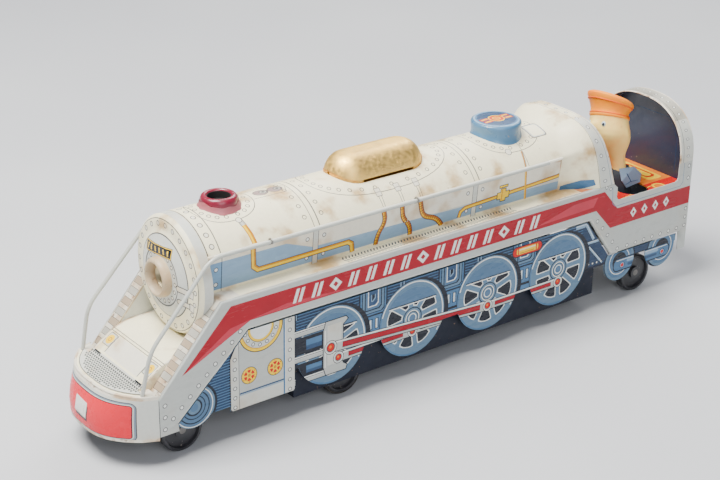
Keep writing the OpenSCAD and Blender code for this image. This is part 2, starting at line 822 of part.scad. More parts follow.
module driver_bracket() {
    color(bare) difference() {
        block([arm_pivot_x - 7, -skirt_inner, arm_z - 1.1], [arm_pivot_x + 7, skirt_inner, arm_z - 0.3]);
        translate([arm_pivot_x, 0, 0]) cylinder(r = pin_r - 0.5, h = 80, $fn = 32);
    }
}

module driver_pin() {
    color(bare) translate([arm_pivot_x, 0, 0]) {
        translate([0, 0, arm_z - 1.6]) cylinder(r = pin_r - 0.5, h = 2, $fn = 32);
        translate([0, 0, arm_z - 0.3]) cylinder(r = pin_r, h = arm_t + 0.6, $fn = 32);
        translate([0, 0, arm_z + arm_t + 0.3]) cylinder(r = pin_r + 1.4, h = 0.8, $fn = 32);
    }
}

driver_at = [driver_x, driver_y];
arm_dir = atan2(driver_y, driver_x - arm_pivot_x);
module driver_arm() {
    reach = norm(driver_at - [arm_pivot_x, 0]);
    color(bare) difference() {
        union() {
            translate([arm_pivot_x, 0, arm_z]) rotate([0, 0, arm_dir]) {
                cylinder(r = 5, h = arm_t, $fn = 48);
                block([-24, -3, 0], [reach, 3, arm_t]);
            }
            translate([driver_x, driver_y, arm_z]) cylinder(r = 5.5, h = arm_t, $fn = 48);
            translate([driver_x, driver_y, arm_z]) cylinder(r = 1.5, h = 26, $fn = 32);
        }
        translate([arm_pivot_x, 0, 0]) cylinder(r = pin_r + run, h = 90, $fn = 48);
    }
}

// Jacket: a folded tin wedge that tapers to the shoulders
module driver_jacket() {
    z0 = arm_z + arm_t;
    color("#7d8ea6") difference() {
        loft([for (p = [[0, 8.4, 7.6], [9, 8.2, 7.4], [17, 7.6, 6.6], [22.5, 4.6, 4.2]])
            [for (q = [[1, 0.3], [0.3, 1], [-0.3, 1], [-1, 0.3], [-1, -0.3], [-0.3, -1], [0.3, -1],
                [1, -0.3]]) [driver_x + q[0] * p[1], driver_y + q[1] * p[2], z0 + p[0]]]]);
        translate([driver_x, driver_y, z0 - 1]) cylinder(r = 1.5, h = 30, $fn = 32);
    }
}

head_tilt = 14;
head_lean = 11;
module driver_head() {
    color("#f0b98a") translate([driver_x, driver_y, arm_z + arm_t + 22.5]) difference() {
        rotate([head_lean, head_tilt, 0]) rotate_extrude($fn = 48) polygon([[0, 0.8], [4.2, 0.8],
            [4.6, 4], [5.4, 9], [8.6, 12.5], [11.4, 17], [12.2, 22], [11.8, 27], [11, 31.5],
            [0, 31.5]]);
        cylinder(r = lever_pin_r, h = 4, $fn = 32);
        translate([-10, -10, -5]) cube([20, 20, 5]);
    }
}

module driver_cap() {
    color("#e07b28") translate([driver_x, driver_y, arm_z + arm_t + 22.5])
        rotate([head_lean, head_tilt, 0]) translate([0, 0, 31.52]) rotate_extrude($fn = 48)
            polygon([[0, 0], [12.2, 0], [12.4, 5], [14.2, 11], [13.4, 12.6], [10, 13.4],
                [0, 13.8]]);
}

side_left();
side_right();
boiler_shell();
smokebox_front();
headlamp_ring();
headlamp_dish();
chimney();
sand_dome();
steam_dome();
pilot_apron();
pilot_deck();
handrail_left();
handrail_right();
handrail_eyelets();
cab_front();
cab_arch();
cab_rear_wall();
cab_floor();
base_pan();
base_screws();
front_bracket();
rear_bracket();
front_axle();
front_wheel_left();
front_wheel_right();
rear_axle();
rear_wheel_left();
rear_wheel_right();
drive_axle();
drive_wheel_left();
drive_wheel_right();
drive_tyre_left();
drive_tyre_right();
drive_pinion();
motor_plate_left();
motor_plate_right();
motor_pillars();
winding_arbor();
winding_key();
ratchet_wheel();
mainspring();
great_wheel();
click();
click_spring();
second_arbor();
second_pinion();
second_wheel();
governor_arbor();
governor_pinion();
governor_fly();
stop_lever();
driver_bracket();
driver_pin();
driver_arm();
driver_jacket();
driver_head();
driver_cap();
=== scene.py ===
"""Looks of the tin clockwork locomotive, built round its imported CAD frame."""
import math

import bmesh
import bpy
import numpy as np
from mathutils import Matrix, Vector, geometry


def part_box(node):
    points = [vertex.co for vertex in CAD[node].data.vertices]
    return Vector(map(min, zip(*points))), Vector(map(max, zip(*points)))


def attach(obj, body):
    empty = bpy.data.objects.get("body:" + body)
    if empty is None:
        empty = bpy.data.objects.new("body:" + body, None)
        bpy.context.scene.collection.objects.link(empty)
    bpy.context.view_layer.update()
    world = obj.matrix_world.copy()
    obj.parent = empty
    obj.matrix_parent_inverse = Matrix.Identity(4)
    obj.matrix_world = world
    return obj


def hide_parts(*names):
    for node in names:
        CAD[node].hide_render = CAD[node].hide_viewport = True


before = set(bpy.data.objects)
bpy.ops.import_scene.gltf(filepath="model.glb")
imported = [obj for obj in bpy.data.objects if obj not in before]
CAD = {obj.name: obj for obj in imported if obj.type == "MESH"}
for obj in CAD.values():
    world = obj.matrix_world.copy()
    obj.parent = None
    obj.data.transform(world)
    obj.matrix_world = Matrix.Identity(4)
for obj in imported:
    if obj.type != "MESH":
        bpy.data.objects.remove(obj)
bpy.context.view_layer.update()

MM = 0.001


def low(node):
    """Lowest corner of a CAD node, in millimetres."""
    return Vector(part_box(node)[0]) / MM


def high(node):
    """Highest corner of a CAD node, in millimetres."""
    return Vector(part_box(node)[1]) / MM


# Sizes in millimetres, read from the frame where it states them -------------
TIN = 0.5
HALF = high("side_left").y
SKIRT = 34.5
LEDGE = 82.0
REAR = low("side_left").x
SEAM = high("side_left").x
BOILER_R = high("smokebox_front").y
BOILER_Z = (low("smokebox_front").z + high("smokebox_front").z) / 2
BOILER_FRONT = high("boiler_shell").x
BOILER_REAR = low("boiler_shell").x
FOOT_Y = 24.0
CREASE_Y = high("boiler_shell").y
CREASE_Z = BOILER_Z + math.sqrt(BOILER_R ** 2 - CREASE_Y ** 2)
WING_TOP = 144.0
WING_LOW = 38.0
WING_FOOT = 17.0
WING_INNER = 26.0
SILL = 70.5
SILL_FRONT = -137.0
SILL_REAR = -190.7
BAND_EDGE = [(171, 21), (128, 62), (-116, 62), (-136, 35), (-196, 35)]
HUBS = [73.9, 18.3, -37.4, -93.0]
HUB_Z = 36.3
HUB_R = 23.0
FRONT_CURVE = 3.6
REAR_CURVE = 2.4
FRONT_ARCH_TOP = high("cab_front").z
FRONT_ARCH_X = -121.0
REAR_ARCH_TOP = high("cab_arch").z
FLOOR_Z = high("cab_floor").z

# Colours ---------------------------------------------------------------------
CREAM = (0.93, 0.86, 0.62)
GREY = (0.47, 0.49, 0.465)
CRIMSON = (0.36, 0.0025, 0.014)
ROSE_HIGHLIGHT = (0.52, 0.035, 0.06)
NAVY = (0.008, 0.013, 0.032)
BLUE = (0.068, 0.165, 0.305)
PALE_BLUE = (0.235, 0.37, 0.52)
MID_BLUE = (0.030, 0.070, 0.150)
WHITE = (0.78, 0.79, 0.75)
YELLOW = (0.95, 0.60, 0.02)
GOLD = (0.60, 0.25, 0.008)
ORANGE = (0.80, 0.20, 0.015)
RED = (0.62, 0.010, 0.006)
INK = (0.012, 0.015, 0.024)
RUST = (0.26, 0.115, 0.035)


# Materials ---------------------------------------------------------------------
def blank(name):
    """A new node material: its tree and its Principled shader."""
    mat = bpy.data.materials.new(name)
    mat.use_nodes = True
    tree = mat.node_tree
    return mat, tree, tree.nodes["Principled BSDF"]


def texture(tree, kind, scale, detail=3.0, stretch=(1, 1, 1)):
    """A noise or Voronoi pattern in the object's own metres."""
    coord = tree.nodes.new("ShaderNodeTexCoord")
    place = tree.nodes.new("ShaderNodeMapping")
    place.inputs["Scale"].default_value = stretch
    tree.links.new(coord.outputs["Object"], place.inputs["Vector"])
    node = tree.nodes.new(kind)
    node.inputs["Scale"].default_value = scale
    if kind == "ShaderNodeTexNoise":
        node.inputs["Detail"].default_value = detail
    tree.links.new(place.outputs["Vector"], node.inputs["Vector"])
    return node.outputs[0]


def ramp(tree, source, start, end, top=1.0):
    """Turns a pattern into a mask that rises from 0 at start to top at end."""
    node = tree.nodes.new("ShaderNodeMapRange")
    node.interpolation_type = "SMOOTHSTEP"
    node.inputs["From Min"].default_value = start
    node.inputs["From Max"].default_value = end
    node.inputs["To Max"].default_value = top
    tree.links.new(source, node.inputs["Value"])
    return node.outputs["Result"]


def blend_colour(tree, mask, under, over):
    """Mixes two colours, each a socket or three numbers, by a mask."""
    node = tree.nodes.new("ShaderNodeMix")
    node.data_type = "RGBA"
    tree.links.new(mask, node.inputs["Factor"])
    for value, spot in ((under, 6), (over, 7)):
        if isinstance(value, tuple):
            node.inputs[spot].default_value = (*value, 1)
        else:
            tree.links.new(value, node.inputs[spot])
    return node.outputs[2]


def both(tree, a, b):
    """A mask that shows where two masks overlap."""
    node = tree.nodes.new("ShaderNodeMath")
    node.operation = "MULTIPLY"
    tree.links.new(a, node.inputs[0])
    tree.links.new(b, node.inputs[1])
    return node.outputs[0]


def bumps(tree, shader, source, height, strength):
    """Raises the surface by a pattern; height is in millimetres."""
    node = tree.nodes.new("ShaderNodeBump")
    node.inputs["Strength"].default_value = strength
    node.inputs["Distance"].default_value = height * MM
    tree.links.new(source, node.inputs["Height"])
    tree.links.new(node.outputs["Normal"], shader.inputs["Normal"])


def tone(colour, by):
    """A colour made lighter or darker."""
    return tuple(min(1.0, c * by) for c in colour)


def tin(name, colour, foxing=0.35, rough=0.30, coat=0.25, wear=0.5):
    """Printed tinplate: ink under clear lacquer, with foxing, scratches and rust specks."""
    mat, tree, shader = blank(name)
    cloudy = ramp(tree, texture(tree, "ShaderNodeTexNoise", 48, 7), 0.50, 0.68, foxing)
    tint = (0.50, 0.31, 0.12) if sum(colour) > 1.4 else tone(colour, 0.6)
    base = blend_colour(tree, cloudy, colour, tint)
    grain = ramp(tree, texture(tree, "ShaderNodeTexNoise", 420, 6), 0.35, 0.75, 0.16)
    base = blend_colour(tree, grain, base, tone(colour, 0.72))
    specks = ramp(tree, texture(tree, "ShaderNodeTexNoise", 700, 3), 0.70, 0.76, 0.75 * wear)
    patches = ramp(tree, texture(tree, "ShaderNodeTexNoise", 34, 2), 0.48, 0.66)
    chips = both(tree, specks, patches)
    base = blend_colour(tree, chips, base, RUST)
    tree.links.new(base, shader.inputs["Base Color"])
    scratch = texture(tree, "ShaderNodeTexNoise", 260, 4, (0.25, 1.0, 1.0))
    tree.links.new(ramp_between(tree, scratch, rough - 0.05, rough + 0.12),
                   shader.inputs["Roughness"])
    shader.inputs["Specular IOR Level"].default_value = 0.20
    shader.inputs["Coat Weight"].default_value = coat * 0.22
    shader.inputs["Coat Roughness"].default_value = 0.18
    bumps(tree, shader, texture(tree, "ShaderNodeTexNoise", 130, 5), 0.10, 0.4)
    return mat


def ramp_between(tree, source, least, most):
    """Turns a pattern into a roughness between two values."""
    node = tree.nodes.new("ShaderNodeMapRange")
    node.inputs["From Min"].default_value = 0.3
    node.inputs["From Max"].default_value = 0.75
    node.inputs["To Min"].default_value = least
    node.inputs["To Max"].default_value = most
    tree.links.new(source, node.inputs["Value"])
    return node.outputs["Result"]


def rusted(name, colour, amount=0.75, rough=0.42):
    """Cream tinplate whose folds have rusted: large brown patches with soft borders."""
    mat, tree, shader = blank(name)
    broad = ramp(tree, texture(tree, "ShaderNodeTexNoise", 95, 6), 0.46, 0.64, amount)
    base = blend_colour(tree, broad, colour, (0.50, 0.31, 0.15))
    dark = ramp(tree, texture(tree, "ShaderNodeTexNoise", 260, 6), 0.58, 0.70, amount)
    base = blend_colour(tree, dark, base, tone(RUST, 0.7))
    tree.links.new(base, shader.inputs["Base Color"])
    tree.links.new(ramp_between(tree, dark, rough, rough + 0.3), shader.inputs["Roughness"])
    bumps(tree, shader, texture(tree, "ShaderNodeTexNoise", 500, 5), 0.12, 0.7)
    return mat


def metal(name, colour, rough=0.35, grime=0.4, scale=300, stretch=(1, 1, 1), tarnish=None):
    """Bare or plated metal with grime in patches and a brushed grain."""
    mat, tree, shader = blank(name)
    dirt = ramp(tree, texture(tree, "ShaderNodeTexNoise", 90, 6), 0.45, 0.75, grime)
    base = blend_colour(tree, dirt, colour, tarnish or tone(colour, 0.35))
    tree.links.new(base, shader.inputs["Base Color"])
    shader.inputs["Metallic"].default_value = 1.0
    grain = texture(tree, "ShaderNodeTexNoise", scale, 4, stretch)
    tree.links.new(ramp_between(tree, grain, rough - 0.08, rough + 0.2),
                   shader.inputs["Roughness"])
    bumps(tree, shader, grain, 0.03, 0.6)
    return mat


def enamel(name, colour, rough=0.22, coat=0.6, chips=0.6, under=(0.45, 0.43, 0.40), lift=1.35,
           shine=0.5):
    """Sprayed enamel on tin: uneven gloss, rubbed lighter patches and chips to the metal."""
    mat, tree, shader = blank(name)
    uneven = ramp(tree, texture(tree, "ShaderNodeTexNoise", 70, 4), 0.35, 0.75, 0.5)
    base = blend_colour(tree, uneven, colour, tone(colour, lift))
    spots = ramp(tree, texture(tree, "ShaderNodeTexNoise", 520, 4), 0.68, 0.72, chips)
    base = blend_colour(tree, spots, base, under)
    tree.links.new(base, shader.inputs["Base Color"])
    gloss = texture(tree, "ShaderNodeTexNoise", 240, 5)
    tree.links.new(ramp_between(tree, gloss, rough - 0.06, rough + 0.18),
                   shader.inputs["Roughness"])
    shader.inputs["Specular IOR Level"].default_value = shine
    shader.inputs["Coat Weight"].default_value = coat
    shader.inputs["Coat Roughness"].default_value = 0.12
    bumps(tree, shader, texture(tree, "ShaderNodeTexNoise", 160, 4), 0.12, 0.5)
    return mat


def vinyl(name, colour, flush, rough=0.55, subsurface=0.12):
    """Soft moulded vinyl with a faint flush of colour and a fine pebble."""
    mat, tree, shader = blank(name)
    warm = ramp(tree, texture(tree, "ShaderNodeTexNoise", 60, 3), 0.38, 0.68, 0.7)
    base = blend_colour(tree, warm, colour, flush)
    grime = ramp(tree, texture(tree, "ShaderNodeTexNoise", 380, 5), 0.62, 0.78, 0.35)
    tree.links.new(blend_colour(tree, grime, base, tone(flush, 0.55)),
                   shader.inputs["Base Color"])
    shader.inputs["Roughness"].default_value = rough
    shader.inputs["Subsurface Weight"].default_value = subsurface
    shader.inputs["Specular IOR Level"].default_value = 0.25
    shader.inputs["Subsurface Radius"].default_value = (0.004, 0.002, 0.001)
    bumps(tree, shader, texture(tree, "ShaderNodeTexNoise", 1400, 2), 0.04, 0.5)
    return mat


CREAM_TIN = tin("print_cream", CREAM, foxing=0.95, rough=0.36, wear=1.0)
WHITE_TIN = tin("print_white_rust", (0.80, 0.76, 0.64), foxing=0.65, rough=0.36, wear=0.9)
GREY_TIN = tin("print_grey", GREY, foxing=0.10, rough=0.27, wear=0.25)
PALE_TIN = tin("print_pale_grey", (0.60, 0.61, 0.56), foxing=0.25, wear=0.4)
CRIMSON_TIN = tin("print_crimson", CRIMSON, foxing=0.2, rough=0.22, coat=0.5, wear=0.2)
# lighter crimson used only for the painted highlights on the flash
ROSE_HIGHLIGHT_TIN = tin("painted_highlight_rose", ROSE_HIGHLIGHT, foxing=0.2, rough=0.22, coat=0.5, wear=0.2)
PILOT_TIN = tin("print_pilot_red", (0.80, 0.022, 0.040), foxing=0.2, rough=0.26, wear=0.4)
NAVY_TIN = tin("print_navy", NAVY, foxing=0.3, rough=0.25, wear=0.2)
BLUE_TIN = tin("print_blue", BLUE, foxing=0.12, rough=0.25, wear=0.2)
PALE_BLUE_TIN = tin("print_pale_blue", PALE_BLUE, foxing=0.10, rough=0.25, wear=0.2)
MID_BLUE_TIN = tin("print_mid_blue", MID_BLUE, foxing=0.2, rough=0.25, wear=0.2)
WHITE_PRINT = tin("print_white", WHITE, foxing=0.06, rough=0.25, wear=0.15)
YELLOW_TIN = tin("print_yellow", YELLOW, foxing=0.10, rough=0.25, wear=0.15)
GOLD_TIN = tin("print_gold", GOLD, foxing=0.2, rough=0.25, wear=0.2)
ORANGE_TIN = tin("print_orange", ORANGE, foxing=0.3, rough=0.3, wear=0.3)
RED_TIN = tin("print_red", RED, foxing=0.2, rough=0.25, wear=0.2)
INK_TIN = tin("print_ink", INK, foxing=0.1, rough=0.25, wear=0.1)
LINE_TIN = tin("print_line", (0.055, 0.055, 0.06), foxing=0.2, rough=0.3, wear=0.1)
COPPER_TIN = tin("print_copper", (0.42, 0.12, 0.015), foxing=0.2, rough=0.28, wear=0.2)
TREAD_TIN = tin("print_tread", (0.22, 0.22, 0.20), foxing=0.4, rough=0.4, wear=0.5)
WEIGHT_TIN = tin("print_wheel_weight", (0.080, 0.160, 0.270), foxing=0.12, rough=0.25, wear=0.2)
WORKS_TIN = tin("print_works_blue", (0.018, 0.042, 0.095), foxing=0.2, rough=0.25, wear=0.2)
RIM_TIN = tin("print_wheel_rim", (0.115, 0.205, 0.305), foxing=0.12, rough=0.25, wear=0.2)
STRIP_TIN = tin("print_strip_blue", (0.17, 0.32, 0.50), foxing=0.15, rough=0.25, wear=0.2)
VALVE_TIN = tin("print_valve", (0.36, 0.27, 0.25), foxing=0.3, rough=0.3, wear=0.4)
# grey for the top of the cab's arch: a grey-white print under heavy rust foxing, darkened as painted
# shade
ARCH_SHADED_TIN = tin("arch_grey_painted_shade", (0.43, 0.41, 0.35), foxing=0.9, rough=0.34, wear=1.0)
STEP_BLUE_TIN = tin("print_step_blue", (0.20, 0.25, 0.31), foxing=0.2, rough=0.3, wear=0.4)
SCALE_TIN = tin("print_scales", (0.06, 0.065, 0.065), foxing=0.3, rough=0.4, wear=0.3)
STEP_BROWN = tin("print_step_brown", (0.44, 0.34, 0.24), foxing=0.5, rough=0.4, wear=0.8)
STEP_GREY = tin("print_step_grey", (0.47, 0.45, 0.39), foxing=0.4, rough=0.4, wear=0.6)
CREAM_RUST = rusted("folded_cream_rust", (0.76, 0.71, 0.60))
INSIDE_TIN = metal("inside_tin", (0.34, 0.32, 0.28), rough=0.45, grime=0.6)
CAB_NAVY = enamel("cab_navy", (0.020, 0.032, 0.065), rough=0.35, coat=0.2, chips=0.25)


# Flat outlines, in millimetres ---------------------------------------------------
def circle(x, y, r, n=20, squash=1.0):
    """A ring of points; squash flattens it into an oval."""
    return [(x + r * math.cos(a), y + r * squash * math.sin(a))
            for a in (2 * math.pi * k / n for k in range(n))]


def rect(x0, y0, x1, y1):
    return [(x0, y0), (x1, y0), (x1, y1), (x0, y1)]


def arc(x, y, r, start, end, n=12):
    return [(x + r * math.cos(math.radians(start + (end - start) * k / n)),
             y + r * math.sin(math.radians(start + (end - start) * k / n)))
            for k in range(n + 1)]


def offset_line(points, by, closed=False):
    """A line moved to its left by a distance, with mitred corners."""
    out = []
    n = len(points)
    for i, p in enumerate(points):
        before = points[(i - 1) % n] if closed or i > 0 else None
        after = points[(i + 1) % n] if closed or i < n - 1 else None
        normals = []
        for a, b in ((before, p), (p, after)):
            if a is None or b is None:
                continue
            d = math.hypot(b[0] - a[0], b[1] - a[1]) or 1e-9
            normals.append((-(b[1] - a[1]) / d, (b[0] - a[0]) / d))
        if len(normals) == 1:
            m = normals[0]
        else:
            (ax, ay), (bx, by_) = normals
            k = max(0.25, 1 + ax * bx + ay * by_)
            m = ((ax + bx) / k, (ay + by_) / k)
        out.append((p[0] + m[0] * by, p[1] + m[1] * by))
    return out


def stroke(points, width):
    """A line drawn with a width."""
    return offset_line(points, width / 2) + offset_line(points, -width / 2)[::-1]


def rounded(x0, y0, x1, y1, r, n=5):
    return (arc(x1 - r, y1 - r, r, 0, 90, n) + arc(x0 + r, y1 - r, r, 90, 180, n)
            + arc(x0 + r, y0 + r, r, 180, 270, n) + arc(x1 - r, y0 + r, r, 270, 360, n))


def area(points):
    """Signed area: above zero when the outline runs anticlockwise."""
    return sum(a[0] * b[1] - b[0] * a[1] for a, b in zip(points, points[1:] + points[:1])) / 2


def grown(points, by):
    """A closed outline moved outwards."""
    return offset_line(points, -by if area(points) > 0 else by, True)


def turned(points, degrees, x, y):
    """An outline turned about its own origin and set down at a place."""
    c, s = math.cos(math.radians(degrees)), math.sin(math.radians(degrees))
    return [(x + px * c - py * s, y + px * s + py * c) for px, py in points]


def spaced(a, b, count):
    """Points along a straight line, both ends included."""
    return [(a[0] + (b[0] - a[0]) * k / (count - 1), a[1] + (b[1] - a[1]) * k / (count - 1))
            for k in range(count)]


# Printed sheets --------------------------------------------------------------------
class Print:
    """Shapes printed one over another on a sheet. The base shapes are the sheet itself."""

    def __init__(self, *bases):
        self.shapes = [(mat, list(points)) for mat, points in bases]
        self.bases = len(self.shapes)
        self.guides = []

    def add(self, mat, points):
        self.shapes.append((mat, list(points)))

    def discs(self, x, y, n, *rows):
        """Discs printed one over another about one centre, as (material, radius)."""
        for mat, r in rows:
            self.add(mat, circle(x, y, r, n))

    def outlined(self, mat, x, y, r, line, edge, n):
        self.add(line, circle(x, y, r + edge, n))
        self.add(mat, circle(x, y, r, n))

    def rivets(self, places, r=1.0, mat=WHITE_PRINT, line=LINE_TIN, edge=0.42):
        for x, y in places:
            self.outlined(mat, x, y, r, line, edge, 12)

    def line(self, mat, points, width):
        self.add(mat, stroke(points, width))

    def guide(self, *points):
        self.guides.append(points)


def inside(points, ring):
    """Which of the points lie inside a ring, counted by crossings."""
    x, y = points[:, 0], points[:, 1]
    hit = np.zeros(len(points), bool)
    for (ax, ay), (bx, by) in zip(ring, ring[1:] + ring[:1]):
        if ay != by:
            hit ^= ((ay > y) != (by > y)) & (x < (bx - ax) * (y - ay) / (by - ay) + ax)
    return hit


def sheet(name, art, place, normal, replaces=(), thick=TIN, back=INSIDE_TIN):
    """Cuts the printed shapes into one plane net, lifts it to its surface and thickens it."""
    points, edges = [], []
    for _, shape in art.shapes:
        start = len(points)
        points += [Vector(p) for p in shape]
        edges += [(start + k, start + (k + 1) % len(shape)) for k in range(len(shape))]
    for guide in art.guides:
        start = len(points)
        points += [Vector(p) for p in guide]
        edges += [(start + k, start + k + 1) for k in range(len(guide) - 1)]
    flat, _, tris = geometry.delaunay_2d_cdt(points, edges, [], 0, 1e-4, False)[:3]
    centres = np.array([[sum(flat[v][i] for v in tri) / 3 for i in (0, 1)] for tri in tris])
    top = np.full(len(tris), -1)
    for k, (_, shape) in enumerate(art.shapes):
        hit = inside(centres, shape)
        top[hit & ((top >= 0) | (k < art.bases))] = k
    kept = [(tri, art.shapes[k][0]) for tri, k in zip(tris, top)
            if k >= 0 and art.shapes[k][0] is not None]
    used = sorted({v for tri, _ in kept for v in tri})
    number = {v: k for k, v in enumerate(used)}
    front = [Vector(place(*flat[v])) for v in used]
    normals = [Vector(normal(*flat[v])).normalized() for v in used]
    count = len(front)
    behind = [p - n * thick for p, n in zip(front, normals)]
    tris = [[number[v] for v in tri] for tri, _ in kept]
    turn = sum((front[b] - front[a]).cross(front[c] - front[a]).dot(normals[a])
               for a, b, c in tris)
    if turn < 0:
        tris = [tri[::-1] for tri in tris]
    all_faces = tris + [[v + count for v in tri[::-1]] for tri in tris]
    edge_use = {(a, b) for tri in tris for a, b in zip(tri, tri[1:] + tri[:1])}
    rims = sorted((a, b) for a, b in edge_use if (b, a) not in edge_use)
    all_faces += [[b, a, a + count, b + count] for a, b in rims]
    slots = []
    for mat in [m for _, m in kept] + [back]:
        if mat not in slots:
            slots.append(mat)
    index = [slots.index(m) for _, m in kept] + [slots.index(back)] * len(tris) + [0] * len(rims)
    mesh = bpy.data.meshes.new(name)
    mesh.from_pydata([p * MM for p in front + behind], [], all_faces)
    for mat in slots:
        mesh.materials.append(mat)
    mesh.polygons.foreach_set("material_index", index)
    mesh.polygons.foreach_set("use_smooth", [True] * len(all_faces))
    loops = [normals[v] for tri in tris for v in tri]
    loops += [-normals[v] for tri in tris for v in tri[::-1]]
    for a, b in rims:
        side = (front[b] - front[a]).cross(normals[a]).normalized()
        loops += [side] * 4
    mesh.update()
    mesh.normals_split_custom_set([tuple(n) for n in loops])
    return register(name, mesh, "body", replaces)


def register(name, mesh, body, replaces):
    """Puts a mesh in the scene as a piece that rides on a body."""
    piece = bpy.data.objects.new(name, mesh)
    bpy.context.scene.collection.objects.link(piece)
    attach(piece, body)
    if replaces:
        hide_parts(*([replaces] if isinstance(replaces, str) else replaces))
    return piece


# Round and lofted pieces --------------------------------------------------------------
def solid(name, rings, faces, mat, body="body", replaces=(), slot=None, sharp=40):
    """A smooth closed mesh from rings of points in millimetres."""
    mesh = bpy.data.meshes.new(name)
    mesh.from_pydata([Vector(p) * MM for ring in rings for p in ring], [], faces)
    mesh.materials.append(mat)
    mesh.polygons.foreach_set("use_smooth", [True] * len(faces))
    mesh.update()
    fix_normals(mesh, sharp)
    return register(name, mesh, body, replaces)


def loft(name, rings, mat, *more, **named):
    """A skin through closed rings of points, capped at both ends."""
    n = len(rings[0])
    rows = len(rings) - 1
    faces = []
    for i in range(rows):
        for j in range(n):
            a, b = i * n + j, i * n + (j + 1) % n
            faces.append((a, b, b + n, a + n))
    faces.append(tuple(range(n - 1, -1, -1)))
    faces.append(tuple(rows * n + k for k in range(n)))
    return solid(name, rings, faces, mat, *more, **named)


def ring_solid(name, rings, mat, **named):
    """Closed sections joined in a full circle."""
    n, m = len(rings), len(rings[0])
    faces = [(i * m + j, i * m + (j + 1) % m, ((i + 1) % n) * m + (j + 1) % m,
              ((i + 1) % n) * m + j) for i in range(n) for j in range(m)]
    return solid(name, rings, faces, mat, **named)


def fix_normals(mesh, angle):
    """Turns all faces outwards and keeps edges sharper than the angle crisp."""
    bm = bmesh.new()
    bm.from_mesh(mesh)
    bmesh.ops.remove_doubles(bm, verts=bm.verts, dist=1e-7)
    bmesh.ops.recalc_face_normals(bm, faces=bm.faces)
    for edge in bm.edges:
        sharp = len(edge.link_faces) == 2 and edge.calc_face_angle(0) > math.radians(angle)
        edge.smooth = not sharp
    bm.to_mesh(mesh)
    bm.free()


def tube(name, path, r, mat, body="body", n=14, **more):
    """A round wire swept along a list of points."""
    points = [Vector(p) for p in path]
    rings = []
    side = None
    for i, p in enumerate(points):
        ahead = points[min(i + 1, len(points) - 1)] - points[max(i - 1, 0)]
        ahead.normalize()
        if side is None:
            side = ahead.orthogonal().normalized()
        side = (side - ahead * side.dot(ahead)).normalized()
        up = ahead.cross(side)
        rings.append([p + side * r * math.cos(a) + up * r * math.sin(a)
                      for a in (2 * math.pi * k / n for k in range(n))])
    return loft(name, rings, mat, body, **more)


def smooth_path(corners, radius, n=7):
    """A path through corners, each rounded with a curve that starts radius before it."""
    corners = [Vector(c) for c in corners]
    out = [corners[0]]
    for a, b, c in zip(corners, corners[1:], corners[2:]):
        start = b + (a - b).normalized() * radius
        end = b + (c - b).normalized() * radius
        for k in range(n + 1):
            t = k / n
            out.append(start * (1 - t) ** 2 + b * 2 * t * (1 - t) + end * t ** 2)
    return out + [corners[-1]]


def profile(points, r):
    """Height of a profile at radius r, from [radius, height] points in rising order."""
    for (r0, h0), (r1, h1) in zip(points, points[1:]):
        if r <= r1:
            return h0 + (h1 - h0) * (r - r0) / (r1 - r0)
    return points[-1][1]


# Side panels: the raised band with its wing and cab side, and the skirt ---------------
BAND_OUTLINE = ([(SEAM, WING_FOOT), (SEAM, WING_LOW), (WING_TOP, LEDGE), (-133.8, LEDGE),
                 (SILL_FRONT, LEDGE - 3), (SILL_FRONT, SILL + 2.5), (SILL_FRONT - 0.8, SILL + 0.8),
                 (SILL_FRONT - 2.5, SILL), (SILL_REAR + 2.5, SILL), (SILL_REAR + 0.8, SILL + 0.8),
                 (SILL_REAR, SILL + 2.5), (SILL_REAR, LEDGE), (REAR, LEDGE), (REAR, 23), (-196, 23)]
                + BAND_EDGE[::-1] + [(171, WING_FOOT)])
FOLD = 1.5


def distance(p, line):
    """Shortest distance from a point to a line of points."""
    best = 1e9
    for a, b in zip(line, line[1:]):
        dx, dy = b[0] - a[0], b[1] - a[1]
        t = max(0, min(1, ((p[0] - a[0]) * dx + (p[1] - a[1]) * dy) / (dx * dx + dy * dy)))
        best = min(best, math.hypot(p[0] - a[0] - t * dx, p[1] - a[1] - t * dy))
    return best


LOWER_FOLD = BAND_EDGE
UPPER_FOLD = [(SEAM, WING_LOW), (WING_TOP, LEDGE), (-133.8, LEDGE)]
UPPER_R = 1.0


def fold_drop(u, v):
    """How far the band's face falls back at its folded edges, and the slope there."""
    drop = 0.0
    for line, r in ((LOWER_FOLD, FOLD), (UPPER_FOLD, UPPER_R)):
        d = distance((u, v), line)
        if d < r:
            drop = max(drop, r - math.sqrt(max(0.0, r * r - (r - d) ** 2)))
    return drop


def numeric_normal(place, u, v, step=0.05):
    """The normal of a placed surface, measured over a small step."""
    pu = Vector(place(u + step, v)) - Vector(place(u - step, v))
    pv = Vector(place(u, v + step)) - Vector(place(u, v - step))
    return pu.cross(pv)


